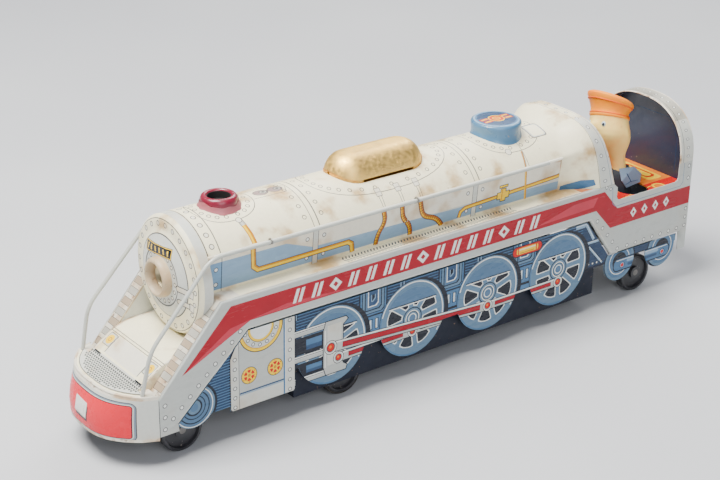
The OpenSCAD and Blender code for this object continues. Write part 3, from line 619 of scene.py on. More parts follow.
def band_art():
    """The grey band with its crimson flash, motif and rivets, x along and height up."""
    art = Print((GREY_TIN, BAND_OUTLINE))
    for line, r, sign in ((LOWER_FOLD, FOLD, -1), (UPPER_FOLD, UPPER_R, 1)):
        for part in (0.06, 0.2, 0.45, 0.75, 1.0):
            art.guide(*offset_line(line, sign * r * part))
    # crimson flash from its point on the wing to the step below the cab window
    stripe = [(168.7, 47.6), (138.6, 78.4), (-126.3, 78.6), (-138.2, 65.2), (REAR, 65.2),
              (REAR, 53.6), (-133.2, 53.4), (-120.2, 67.6), (127, 67.2)]
    art.line(LINE_TIN, [(SILL_FRONT - 6, LEDGE + 1), (SILL_FRONT - 6, LEDGE)], 0.3)
    art.add(LINE_TIN, offset_line(stripe, 0.25, True))
    art.add(CRIMSON_TIN, stripe)
    # lighter rose patches on the crimson flash: painted highlights, low on the wing and high beside
    # the cab
    art.add(ROSE_HIGHLIGHT_TIN, [(166.5, 48.6), (139.5, 66.0), (104, 70.4), (60, 68.0), (127, 67.6)])
    art.add(ROSE_HIGHLIGHT_TIN, [(-73, 69.6), (-99, 76.2), (-121, 76.4), (-117.6, 70.6)])
    art.line(CRIMSON_TIN, [(-80, 71.6), (-101, 76.6), (-119, 76.8)], 0.9)
    # generic motif in place of lettering: slanted bars and diamonds
    for k in range(15):
        x = 96.5 - k * 11.9
        if k % 5 == 2:
            art.add(WHITE_PRINT, [(x - 4.2, 72.9), (x, 69.0), (x + 4.2, 72.9), (x, 76.8)])
            art.add(CRIMSON_TIN, [(x - 1.7, 72.9), (x, 71.3), (x + 1.7, 72.9), (x, 74.5)])
        else:
            for shift in (-3.0, 0.4):
                art.add(WHITE_PRINT, [(x + shift + 1.6, 69.0), (x + shift + 3.6, 69.0),
                                      (x + shift + 0.9, 76.8), (x + shift - 1.1, 76.8)])
    for k in range(4):
        x = -152.5 - k * 9.6
        art.add(WHITE_PRINT, [(x - 2.6, 59.3), (x, 55.9), (x + 2.6, 59.3), (x, 62.7)])
        art.add(CRIMSON_TIN, [(x - 1.0, 59.3), (x, 58.0), (x + 1.0, 59.3), (x, 60.6)])
    # rivets along the wing, the cab's lower edge and its rear
    wing = spaced((133.2, 62.6), (174.3, 25.3), 9)
    cab = spaced((-121.9, 60.6), (-141.0, 37.9), 5) + spaced((-149.4, 37.9), (-193.3, 38.4), 7)
    rear = spaced((-200.2, 38.8), (-200.2, 50.2), 3) + spaced((-199.6, 71), (-199.6, 79), 2)
    post = [(-131.2, 79.2), (-127.6, 81)]
    art.rivets(wing + cab + rear + [(178.9, 34.2), (179.0, 27.5), (179.2, 20.6)], 0.95)
    art.rivets(post, 0.8)
    # thin blue line round the window, and a painted highlight along the band's lower folded edge
    window = [(-132.8, LEDGE - 1.5), (-133.6, SILL - 1.2), (-136.2, SILL - 3.6),
              (SILL_REAR - 2.4, SILL - 3.6), (SILL_REAR - 4.4, SILL - 1.4),
              (SILL_REAR - 4.4, LEDGE)]
    art.line(BLUE_TIN, window, 0.35)
    art.line(PALE_TIN, offset_line(BAND_EDGE[:4], -1.1), 0.7)
    art.line(INK_TIN, [(SEAM - 0.3, WING_FOOT), (SEAM - 0.3, WING_LOW)], 0.3)
    return art


def wheel_art(art, x, turn):
    """One printed driving wheel: shadow, rim, balance weight, windows and hub."""
    z = HUB_Z
    art.add(INK_TIN, circle(x - 3.0, z + 0.3, HUB_R + 0.2, 48))
    art.add(INK_TIN, circle(x, z, HUB_R + 0.5, 64))
    art.add(RIM_TIN, circle(x, z, HUB_R, 64))
    art.add(BLUE_TIN, arc(x, z, HUB_R - 0.2, -100, 35, 24) + arc(x, z, HUB_R - 1.0, 35, -100, 24))
    art.add(WHITE_PRINT, arc(x, z, HUB_R - 0.7, 15, 215, 30) + arc(x, z, HUB_R - 1.4, 215, 15, 30))
    windows = 8
    for k in range(windows):
        mid = 360 * k / windows + turn
        for mat, edge in ((WHITE_PRINT, 0.0), (INK_TIN, 0.6)):
            art.add(mat, window_shape(x, z, mid, HUB_R - 4.8 - edge, 7.4 + edge, 1.5 + edge,
                                      360 / windows))
    weight = arc(x, z, HUB_R - 3.4, 30, 150, 20)
    art.add(WEIGHT_TIN, weight)
    art.add(RIM_TIN, arc(x, z, HUB_R - 3.6, 60, 120, 10) + arc(x, z, HUB_R - 4.4, 120, 60, 10))
    art.line(INK_TIN, [weight[0], weight[-1]], 0.55)
    art.line(WHITE_PRINT, [(weight[0][0] - 0.4, weight[0][1] - 0.75),
                           (weight[-1][0] + 0.4, weight[-1][1] - 0.75)], 0.6)
    art.discs(x, z, 28, (INK_TIN, 6.7), (RIM_TIN, 6.1), (WHITE_PRINT, 4.9), (INK_TIN, 4.3),
              (RIM_TIN, 3.8), (WHITE_PRINT, 2.9), (WEIGHT_TIN, 2.3))


def window_shape(x, z, mid, outer, inner, spoke, step):
    """The opening between two spokes, with rounded outer corners."""
    def edge(r, side, inset):
        half = math.radians(step / 2) - math.asin(min(0.9, inset / r))
        return math.radians(mid) + side * half
    out = []
    for r, inset in ((outer - 1.4, spoke), (outer - 0.35, spoke + 0.5)):
        a = edge(r, -1, inset)
        out.append((x + r * math.cos(a), z + r * math.sin(a)))
    for t in (-0.55, 0.0, 0.55):
        a = math.radians(mid) + t * (edge(outer, 1, spoke + 1.4) - math.radians(mid))
        out.append((x + outer * math.cos(a), z + outer * math.sin(a)))
    for r, inset in ((outer - 0.35, spoke + 0.5), (outer - 1.4, spoke), (inner, spoke)):
        a = edge(r, 1, inset)
        out.append((x + r * math.cos(a), z + r * math.sin(a)))
    a = edge(inner, -1, spoke)
    out.append((x + inner * math.cos(a), z + inner * math.sin(a)))
    return out


def rod_art(art, a, b, width, inset=(0.10, 0.90)):
    """A printed rod with a dark edge, a pale body and a crimson inset."""
    art.line(INK_TIN, [a, b], width + 0.9)
    art.line(WHITE_PRINT, [a, b], width)
    art.line(GREY_TIN, [(a[0], a[1] - 0.45), (b[0], b[1] - 0.45)], width - 0.9)
    ends = [tuple(a[i] + (b[i] - a[i]) * t for i in (0, 1)) for t in inset]
    art.line(INK_TIN, ends, width - 2.2)
    art.line(CRIMSON_TIN, ends, width - 3.0)


def pin_art(art, x, z, r):
    """A printed crank pin with its washer."""
    art.discs(x, z, 24, (INK_TIN, r + 1.95), (WHITE_PRINT, r + 1.55), (GREY_TIN, r + 1.0),
              (INK_TIN, r + 0.45), (RED_TIN, r))
    art.add(ORANGE_TIN, circle(x + 0.25, z + 0.35, r * 0.42, 12))


def gear_work_art(art):
    """Blue frames and pipes printed between the driving wheels."""
    for z in (60.9, 59.2, 57.5, 55.8, 54.1, 52.4):
        art.line(INK_TIN, [(101, z), (-112, z - 0.2)], 0.35)
        art.line(BLUE_TIN, [(101, z - 0.6), (-112, z - 0.8)], 0.35)
    for x in HUBS[:-1]:
        mid = x - 27.8
        art.add(INK_TIN, rect(mid - 9.8, 28, mid + 9.8, 62.2))
        art.add(BLUE_TIN, rect(mid - 8.8, 28, mid + 8.8, 62.2))
        for mat, half, foot in ((INK_TIN, 7.8, 47.4), (RIM_TIN, 7.2, 47.9), (INK_TIN, 5.9, 49.2),
                                (WEIGHT_TIN, 5.2, 49.9), (WHITE_PRINT, 3.7, 51.4),
                                (MID_BLUE_TIN, 3.1, 52.0), (PALE_BLUE_TIN, 1.5, 54.4),
                                (INK_TIN, 1.0, 54.9)):
            top = 58.6 if foot > 54 else 62.3
            art.add(mat, [(mid - half, top), (mid - half, foot + 1.6), (mid - half + 1.6, foot),
                          (mid + half, foot), (mid + half, top)])
        for dx in (-2.6, 1.6):
            art.line(INK_TIN, [(mid + dx, 37.4), (mid + dx, 43.8)], 2.6)
            art.line(WHITE_PRINT, [(mid + dx + 0.3, 37.8), (mid + dx + 0.3, 43.4)], 0.8)
            art.line(PALE_BLUE_TIN, [(mid + dx - 0.5, 37.8), (mid + dx - 0.5, 43.4)], 0.7)
        art.line(INK_TIN, [(mid - 9, 46.0), (mid + 9, 46.0)], 1.0)
        art.line(INK_TIN, [(mid - 9, 34.5), (mid + 9, 34.5)], 1.6)
    for x in (99.4, 97.2, 27, 24.8, -29, -31.2):
        art.line(INK_TIN, [(x, 57.4), (x, 61.8)], 1.5)
        art.line(PALE_BLUE_TIN, [(x + 0.1, 57.6), (x + 0.1, 61.6)], 0.7)
    # capsule-shaped reservoir under the band
    for mat, grow in ((INK_TIN, 0.9), (RED_TIN, 0.3)):
        art.add(mat, rounded(-78 - grow, 53.6 - grow, -56 + grow, 58.6 + grow, 2.4 + grow))
    art.add(YELLOW_TIN, rounded(-75.4, 54.2, -58.6, 58.0, 1.2))
    art.line(WHITE_PRINT, [(-73.4, 57.0), (-60.4, 57.0)], 0.6)
    for x in (-74.0, -60.0):
        art.line(RED_TIN, [(x, 54), (x, 58.3)], 0.8)
    art.line(GOLD_TIN, [(-72.4, 54.9), (-61.4, 54.9)], 0.7)
    # frame rails behind the last driving wheel
    for a, b, w in (((-106, 59.4), (-114.6, 59.4), 2.4), ((-114.6, 59.4), (-121.4, 48.6), 2.0),
                    ((-113.4, 46.8), (-127, 46.8), 1.6), ((-118, 44), (-130, 31), 1.4)):
        art.line(INK_TIN, [a, b], w + 0.9)
        art.line(PALE_BLUE_TIN, [a, b], w)
        art.line(WHITE_PRINT, [(a[0], a[1] + w * 0.28), (b[0], b[1] + w * 0.28)], 0.3)
    art.rivets([(-118.5, 32.4), (-122, 32.3), (-125.5, 32.2), (-129, 32.1)], 0.55)


def cylinder_art(art):
    """The printed cylinder block, its slide bars and crosshead."""
    block = [(98.4, 17.4), (99.4, 16.2), (137.0, 16.2), (138.6, 17.6), (138.6, 47), (133.6, 57),
             (128.6, 62), (98.4, 62)]
    art.add(INK_TIN, offset_line(block, -1.0, True))
    art.add(PALE_TIN, block)
    art.add(GREY_TIN, [(104.6, 17.5), (133.4, 17.5), (133.4, 53), (124, 61.5), (104.6, 61.5)])
    art.line(LINE_TIN, [(133.5, 16.4), (133.5, 57)], 0.3)
    art.line(BLUE_TIN, [(105.0, 16.4), (105.0, 61.8)], 1.0)
    art.line(WHITE_PRINT, [(104.2, 16.4), (104.2, 61.8)], 0.4)
    art.line(MID_BLUE_TIN, [(105.4, 25.4), (133.2, 25.4)], 0.9)
    art.line(PALE_BLUE_TIN, [(105.4, 24.5), (133.2, 24.5)], 0.5)
    art.add(PALE_TIN, rect(105.6, 17.2, 133.2, 24.0))
    for mat, r in ((INK_TIN, 13.9), (YELLOW_TIN, 13.4), (GOLD_TIN, 11.9), (PALE_TIN, 11.5),
                   (INK_TIN, 8.2), (YELLOW_TIN, 7.9), (WHITE_PRINT, 6.6)):
        art.add(mat, arc(119.6, 60.4, r, 180, 360, 20) + [(119.6 + r, 62.2), (119.6 - r, 62.2)])
    art.rivets([(119.6 + 9.8 * math.cos(math.radians(a)), 60.4 + 9.8 * math.sin(math.radians(a)))
                for a in (196, 222, 248, 274, 300, 326, 350)], 0.75)
    for x in (127.2, 110.9):
        art.discs(x, 34.6, 24, (INK_TIN, 5.0), (YELLOW_TIN, 4.6), (RED_TIN, 3.3),
                  (YELLOW_TIN, 1.6), (GOLD_TIN, 0.9))
        for k in range(6):
            a = math.radians(60 * k)
            art.line(YELLOW_TIN, [(x + 1.2 * math.cos(a), 34.6 + 1.2 * math.sin(a)),
                                  (x + 3.8 * math.cos(a), 34.6 + 3.8 * math.sin(a))], 0.8)
            art.add(RED_TIN, circle(x + 4.0 * math.cos(a + 0.5), 34.6 + 4.0 * math.sin(a + 0.5),
                                    0.35, 8))
    art.rivets(spaced((136.0, 46.3), (136.1, 18.2), 6), 0.85)
    art.rivets(spaced((101.4, 59.4), (101.4, 18.2), 8), 0.85)
    # slide bars and crosshead
    for z0, z1 in ((36.4, 46.6), (22.6, 31.0)):
        art.add(INK_TIN, rect(76.5, z0, 98.4, z1))
        art.add(BLUE_TIN, rect(80.6, z0 + 1.9, 90.8, z1 - 2.2))
        art.add(MID_BLUE_TIN, rect(80.6, z0 + 1.9, 90.8, (z0 + z1) / 2 - 0.6))
    for z, far in ((49.2, 65.4), (34.0, 77.0), (20.8, 65.4)):
        art.line(INK_TIN, [(98.4, z), (far, z)], 4.3)
        art.line(WHITE_PRINT, [(98.4, z), (far, z)], 3.4)
        art.line(GREY_TIN, [(98.4, z - 0.7), (far, z - 0.7)], 2.0)
        art.line(INK_TIN, [(98.4, z + 0.75), (far + 2, z + 0.75)], 0.4)
    head = [(77.8, 50.9), (64.6, 50.9), (63.4, 49.4), (66.6, 46.8), (66.6, 23.4), (63.8, 21.4),
            (64.6, 19.1), (77.8, 19.1), (79.4, 24.0), (79.4, 46.0)]
    art.add(INK_TIN, grown(head, 0.55))
    art.add(GREY_TIN, head)
    art.add(PALE_TIN, rect(67.6, 24.4, 76.8, 48.4))
    art.line(WHITE_PRINT, [(78.3, 46.0), (78.3, 23.6)], 0.7)


def truck_art(art):
    """The small printed wheels ahead of and behind the driving wheels."""
    for k in range(24):
        z = 55.5 - k * 1.6
        art.line(BLUE_TIN, [(139.0, z), (139.0 + 3 + k * 0.9, z - 0.3)], 0.5)
    art.discs(161.0, 26.6, 40, (INK_TIN, 14.0), (RIM_TIN, 12.6), (WHITE_PRINT, 11.4),
              (WEIGHT_TIN, 10.9), (INK_TIN, 9.4), (WEIGHT_TIN, 8.7), (INK_TIN, 6.9),
              (WEIGHT_TIN, 6.3), (INK_TIN, 4.9), (RIM_TIN, 3.9), (WEIGHT_TIN, 2.4))
    for x in (-145.5, -183.0):
        art.discs(x, 27.6, 36, (INK_TIN, 13.6), (RIM_TIN, 12.6), (WEIGHT_TIN, 11.0),
                  (WHITE_PRINT, 8.8), (WEIGHT_TIN, 8.3), (INK_TIN, 6.0))
    frame_side = rounded(-189.4, 21.4, -141.0, 28.8, 3.0)
    art.add(INK_TIN, offset_line(frame_side, -0.8, True))
    art.add(BLUE_TIN, frame_side)
    art.add(PALE_BLUE_TIN, rounded(-180.0, 25.6, -152.0, 27.8, 1.0))
    art.add(MID_BLUE_TIN, rounded(-179.0, 23.0, -153.0, 24.8, 0.8))
    art.line(WHITE_PRINT, [(-188, 28.0), (-143, 28.0)], 0.45)
    for x in (-148.2, -183.6):
        art.discs(x, 24.4, 16, (INK_TIN, 2.2), (PALE_BLUE_TIN, 1.8), (RED_TIN, 1.2))


def skirt_art():
    """The printed running gear below the band."""
    bases = [rect(98, 16.6, 139, 63.4), rect(-136, 29, 104, 63.4), rect(138, 20, 162, 56.5),
             rect(-195, 29, -134, 39)]
    bases += [circle(x, HUB_Z, HUB_R, 64) for x in HUBS]
    bases += [circle(x, 28, 13, 48) for x in (161, -145, -181)]
    art = Print(*[(WORKS_TIN, shape) for shape in bases])
    art.add(NAVY_TIN, rect(-136, 20, 104, 30.5))
    gear_work_art(art)
    for x, turn in zip(HUBS, (0, 14, 5, 20)):
        wheel_art(art, x, turn)
    cylinder_art(art)
    truck_art(art)
    pins = [(x - 0.4, 28.0) for x in HUBS]
    crosshead = (74.6, 34.9)
    small = (69.4, 27.4)
    rod_art(art, pins[2], pins[1], 3.6)
    rod_art(art, small, pins[1], 5.2, (0.13, 0.87))
    pin_art(art, *pins[1], 1.6)
    rod_art(art, pins[2], crosshead, 5.8, (0.05, 0.93))
    rod_art(art, pins[3], pins[2], 5.0, (0.10, 0.90))
    for pin in pins[2:]:
        pin_art(art, *pin, 1.75)
    pin_art(art, *small, 1.7)
    pin_art(art, *crosshead, 2.3)
    return art


KEY_HOLE = (16, 40, 4.5)


def side_panels():
    for side, node in ((1, "side_left"), (-1, "side_right")):
        def band_place(u, v, side=side):
            return (u, side * (HALF - fold_drop(u, v)), v)

        def band_normal(u, v, side=side):
            n = numeric_normal(band_place, u, v)
            return n if n.y * side > 0 else -n
        sheet(f"{node}_band", band_art(), band_place, band_normal, replaces=node)
        art = skirt_art()
        if side < 0:
            art.add(None, circle(*KEY_HOLE, 32))
        art.add(None, grown(BAND_EDGE + [(-196, 80), (171, 80)], 1.2))
        sheet(f"{node}_skirt", art, lambda u, v, side=side: (u, side * SKIRT, v),
              lambda u, v, side=side: (0, side, 0))
        top_sheet(side)
        wing_wall(side)


def top_sheet(side):
    """The running board and the flange down the wing, with their rusted folded edge."""
    slope = math.hypot(SEAM - WING_TOP, LEDGE - WING_LOW)
    start, end = BOILER_REAR - 10, WING_TOP
    edge = HALF - UPPER_R

    def place(u, v):
        if u <= end:
            return (u, side * v, LEDGE)
        t = (u - end) / slope
        return (end + (SEAM - end) * t, side * v, LEDGE + (WING_LOW - LEDGE) * t)

    def normal(u, v):
        if u <= end - 0.01:
            return (0, 0, 1)
        return (LEDGE - WING_LOW, 0, SEAM - WING_TOP)
    art = Print((CREAM_TIN, [(start, FOOT_Y + 0.1), (end, FOOT_Y + 0.1), (end, edge), (start, edge)]),
                (CREAM_RUST, [(end, WING_INNER), (end + slope, WING_INNER), (end + slope, edge),
                              (end, edge)]))
    art.add(CREAM_RUST, rect(start, edge - 1.2, end, edge))
    art.add(CREAM_RUST, rect(end - 12, FOOT_Y, end, edge))
    art.guide((end, FOOT_Y), (end, edge))
    # herringbone tread plate along the middle of the running board
    x = -58.0
    while x < 62:
        for y0, y1 in ((27.0, 29.8), (33.2, 30.4)):
            art.line(LINE_TIN, [(x, y0), (x + 1.7, y1)], 0.8)
        x += 2.1
    # steps printed down the wing
    for k in range(8):
        u = end + 6 + k * 6.4
        step = rect(u, WING_INNER + 0.6, u + 3.6, edge - 1.0)
        art.add(LINE_TIN, grown(step, 0.25))
        art.add(STEP_BROWN if k % 2 else STEP_GREY, step)
    name = "left" if side > 0 else "right"
    sheet(f"side_{name}_top", art, place, normal)


def wing_wall(side):
    """The wing's inner wall, which faces the deck."""
    art = Print((PALE_TIN, [(WING_TOP, LEDGE - 0.3), (SEAM - 0.4, WING_LOW), (SEAM - 0.4, 34),
                            (WING_TOP, 46)]))
    art.add(CREAM_RUST, [(WING_TOP, LEDGE), (SEAM, WING_LOW), (SEAM, WING_LOW - 1.8),
                         (WING_TOP, LEDGE - 1.6)])
    name = "left" if side > 0 else "right"
    sheet(f"side_{name}_wing_wall", art, lambda u, v: (u, side * WING_INNER, v),
          lambda u, v: (0, -side, 0))


# Boiler -------------------------------------------------------------------------------
CREASE_ANGLE = math.asin(CREASE_Y / BOILER_R)
CREASE_ARC = BOILER_R * CREASE_ANGLE


def boiler_place(u, v):
    a = v / BOILER_R
    return (u, BOILER_R * math.sin(a), BOILER_Z + BOILER_R * math.cos(a))


def boiler_normal(_, v):
    a = v / BOILER_R
    return (0, math.sin(a), math.cos(a))


def oval(x, half_long, half_wide, n=40):
    """A rounded oval round the crown, as x and arc length."""
    flat = 2.4
    out = []
    for k in range(n):
        a = 2 * math.pi * k / n
        c, s = math.cos(a), math.sin(a)
        out.append((x + half_long * math.copysign(abs(c) ** (2 / flat), c),
                    half_wide * math.copysign(abs(s) ** (2 / flat), s)))
    return out


def boiler_art():
    """The boiler's round top, x along and arc length across."""
    edge = CREASE_ARC
    art = Print((CREAM_TIN, rect(BOILER_REAR, -edge, BOILER_FRONT, edge)))
    steps = 28
    for k in range(1, steps):
        v = -edge + 2 * edge * k / steps
        art.guide((BOILER_REAR, v), (BOILER_FRONT, v))
    # banding with rivets beside it
    for x, w in ((BOILER_FRONT - 0.5, 0.6), (138.0, 0.55)):
        art.line(LINE_TIN, [(x, -edge), (x, edge)], w)
    for x in (78.2, -32.4):
        art.line(LINE_TIN, [(x + 1.7, -edge), (x + 1.7, edge)], 0.4)
        art.line(LINE_TIN, [(x - 1.7, -edge), (x - 1.7, edge)], 0.6)
        for side in (-1, 1):
            for v in (4, 11, 18, 25):
                art.rivets([(x + 5.4, side * v), (x - 5.4, side * v)], 0.95, CREAM_TIN, INK_TIN, 0.38)
    art.line(LINE_TIN, [(-72, -edge), (-72, edge)], 0.3)
    art.rivets([(141.6, v) for v in (-27, -20.2, -13.5, -6.8, 0, 6.8, 13.5, 20.2, 27)],
               1.15, WHITE_TIN, INK_TIN, 0.42)
    # riveted saddles printed round the chimney and the two domes
    for x, long, wide, count in ((121.7, 18.2, 16.2, 18), (22.5, 47, 23, 32), (-69.7, 24, 21, 22)):
        ring = oval(x, long, wide)
        for a, b in zip(ring, ring[1:] + ring[:1]):
            art.line(LINE_TIN, [a, b], 0.4)
        inner = oval(x, long - 3.4, wide - 3.4, count)
        art.rivets(inner, 0.9, CREAM_TIN, LINE_TIN, 0.4)
    # two small valves behind the chimney
    for x in (96, 87):
        for mat, back, long, wide in ((LINE_TIN, 0, 4.6, 3.4), (VALVE_TIN, 0, 4.2, 3.0),
                                      (LINE_TIN, 1.6, 2.4, 2.0), (STEP_GREY, 1.6, 2.0, 1.6),
                                      (LINE_TIN, 1.6, 1.0, 0.8)):
            art.add(mat, circle(x - back, 0, long, 18, wide / long))
    art.line(LINE_TIN, [(103, -5), (83, -5.4), (80.6, 0), (83, 5.4), (103, 5)], 0.3)
    # pipe clips below the gold dome, and the pipe that starts at the chimney
    for side in (-1, 1):
        y = side * 22.4
        for x in (33.5, 20.4, 7.6):
            art.add(LINE_TIN, rect(x - 1.9, y - 2.6, x + 1.9, y + 2.6))
            art.add(WHITE_TIN, rect(x - 1.6, y - 2.3, x + 1.6, y + 2.3))
            art.line(LINE_TIN, [(x - 1.4, y), (x + 1.4, y)], 0.3)
            art.line(LINE_TIN, [(x - 0.9, side * 25), (x - 0.7, side * edge)], 0.3)
            art.line(LINE_TIN, [(x + 0.9, side * 25), (x + 0.7, side * edge)], 0.3)
        x = 116.6
        art.line(LINE_TIN, [(x + 3.2, side * 16), (x + 2.2, side * 21)], 3.2)
        art.line(STEP_GREY, [(x + 3.2, side * 16), (x + 2.2, side * 21)], 2.6)
        art.line(PALE_TIN, [(x + 3.4, side * 16), (x + 2.4, side * 21)], 1.2)
        run = [(2.3, 20.4), (1.2, 26), (0.6, edge)]
        for mat, shift, w in ((COPPER_TIN, 0, 3.0), (GOLD_TIN, 0.1, 2.4), (YELLOW_TIN, 0.4, 1.2)):
            art.line(mat, [(x + a + shift, side * b) for a, b in run], w)
        art.rivets([(x + 3.4, side * 16.6)], 1.5, WHITE_TIN, LINE_TIN, 0.34)
        art.line(TREAD_TIN, [(-71.4, side * 21.5), (-69.2, side * edge)], 1.4)
        art.line(GOLD_TIN, [(-71.2, side * 21.5), (-69.0, side * edge)], 0.6)
        art.rivets([(-62.5, side * 19.8)], 1.9, WHITE_TIN, LINE_TIN, 0.34)
    # hatch ahead of the cab
    art.add(LINE_TIN, rounded(-96.6, 2.6, -84.8, 15.4, 2))
    art.add(PALE_TIN, rounded(-96.1, 3.2, -85.4, 14.8, 1.7))
    art.add(CREAM_TIN, rounded(-95.4, 3.9, -86.4, 14.1, 1.4))
    # browned edge above the crease
    for side in (-1, 1):
        art.add(WHITE_TIN, rect(BOILER_REAR, side * edge - 0.9, BOILER_FRONT, side * edge + 0.9))
    return art


def wall_art():
    """The boiler's side below the crease, x along and height up."""
    top, foot = CREASE_Z, LEDGE - 1.5
    art = Print((WHITE_TIN, rect(BOILER_REAR, foot, BOILER_FRONT, top)))
    art.add(CREAM_RUST, rect(BOILER_REAR, top - 2.6, BOILER_FRONT, top))
    art.add(PALE_TIN, rect(BOILER_REAR, foot, BOILER_FRONT, 91.0))
    art.add(PALE_BLUE_TIN, [(BOILER_FRONT, 99.0), (97.0, 98.6), (80, 92.2), (-104, 88.4),
                            (-104, foot), (BOILER_FRONT, foot)])
    art.add(CREAM_TIN, rect(BOILER_REAR, foot, BOILER_FRONT, LEDGE + 1.4))
    art.add(STRIP_TIN, rect(136.8, LEDGE + 1.4, BOILER_FRONT, 98.8))
    art.line(INK_TIN, [(136.8, foot), (136.8, top)], 0.4)
    art.rivets([(140.2, 95), (140.2, 86.4)], 1.0)
    for x in (78.2, -32.4):
        art.add(PALE_TIN, rect(x - 1.7, foot, x + 1.7, top))
        for dx in (-1.7, 1.7):
            art.line(LINE_TIN, [(x + dx, foot), (x + dx, top)], 0.35)
        art.rivets([(x + dx, z) for dx in (-5.4, 5.4) for z in (97.5, 86.4)], 0.9)
    pipe(art, [(118.0, top), (117.2, 90.6), (114.4, 88.2), (56.4, 88.8), (54.0, 87.2), (53.2, 82.0)],
         2.6, GOLD_TIN, YELLOW_TIN)
    for path in ([(34.2, top + 1), (31.4, 95.0), (36.6, 88.0), (37.4, 82.0)],
                 [(21.0, top + 1), (19.4, 93.0), (14.2, 89.0), (13.4, 82.0)],
                 [(8.6, top + 1), (5.4, 91.5), (-5.4, 87.5), (-9.4, 82.0)]):
        curve = [(p.x, p.z) for p in smooth_path([(x, 0, z) for x, z in path], 4.2, 5)]
        pipe(art, curve, 2.6, COPPER_TIN, GOLD_TIN, YELLOW_TIN)
        for (x0, z0), (x1, z1) in zip(curve, curve[1:]):
            long = math.hypot(x1 - x0, z1 - z0)
            for k in range(int(long / 1.5)):
                t = (k + 0.5) * 1.5 / long
                x, z = x0 + (x1 - x0) * t, z0 + (z1 - z0) * t
                dx, dz = (z1 - z0) / long * 1.2, -(x1 - x0) / long * 1.2
                art.line(INK_TIN, [(x - dx, z - dz), (x + dx, z + dz)], 0.28)
    pipe(art, [(-21.6, 83.6), (-22.6, 87.0), (-26.0, 88.8), (-96.0, 92.0), (-104, 93.0)],
         2.0, GOLD_TIN, YELLOW_TIN)
    for mat, g in ((INK_TIN, 0.5), (YELLOW_TIN, 0.0)):
        art.add(mat, rect(-56 - g, 86.4 - g, -52.6 + g, 93.8 + g))
        art.add(mat, rect(-58.6 - g, 88.0 - g, -50.0 + g, 91.8 + g))
        art.add(mat, rect(-57.2 - g, 95.0 - g, -51.4 + g, 96.0 + g))
    art.line(GOLD_TIN, [(-53.4, 86.8), (-53.4, 93.4)], 0.7)
    art.line(GOLD_TIN, [(-70.2, top), (-72.2, 83)], 1.6)
    art.line(YELLOW_TIN, [(-69.9, top), (-71.9, 83)], 0.6)
    return art


def pipe(art, path, width, mat, light, glint=None):
    """A printed pipe: dark edge, body, light stripe."""
    art.line(INK_TIN, path, width + 0.7)
    art.line(mat, path, width)
    art.line(light, offset_line(path, width * 0.14), width * 0.56)
    if glint:
        art.line(glint, offset_line(path, width * 0.2), width * 0.14)


def boiler():
    sheet("boiler_top", boiler_art(), boiler_place, boiler_normal, replaces="boiler_shell")
    lean = (CREASE_Y - 1 - FOOT_Y) / (CREASE_Z - LEDGE + 2)
    for side, name in ((1, "left"), (-1, "right")):
        def place(u, v, side=side):
            return (u, side * (FOOT_Y + lean * (v - LEDGE + 2)), v)
        sheet(f"boiler_wall_{name}", wall_art(), place,
              lambda u, v, side=side: (0, side, -lean))
        # rolled lip where the round top overhangs the wall
        lip = [(CREASE_Y - 1.2, CREASE_Z - 0.1), (CREASE_Y + 0.1, CREASE_Z - 0.9),
               (CREASE_Y + 0.75, CREASE_Z - 0.35), (CREASE_Y + 0.35, CREASE_Z + 0.45),
               (CREASE_Y - 0.6, CREASE_Z + 0.55)]
        rings = [[(x, side * y, z) for y, z in lip] for x in (BOILER_REAR, BOILER_FRONT)]
        loft(f"boiler_lip_{name}", rings, WHITE_TIN, slot="tin_cream")


# Smokebox front and headlamp ---------------------------------------------------------
FACE = [(0, 157.6), (9.9, 157.4), (16.2, 157.3), (17.4, 156.9), (19.0, 156.2), (23.4, 154.7),
        (24.6, 154.35), (26.5, 154.2), (29.2, 154.05), (30.0, 153.8), (30.9, 153.2), (31.6, 152.2),
        (31.9, 151.2)]


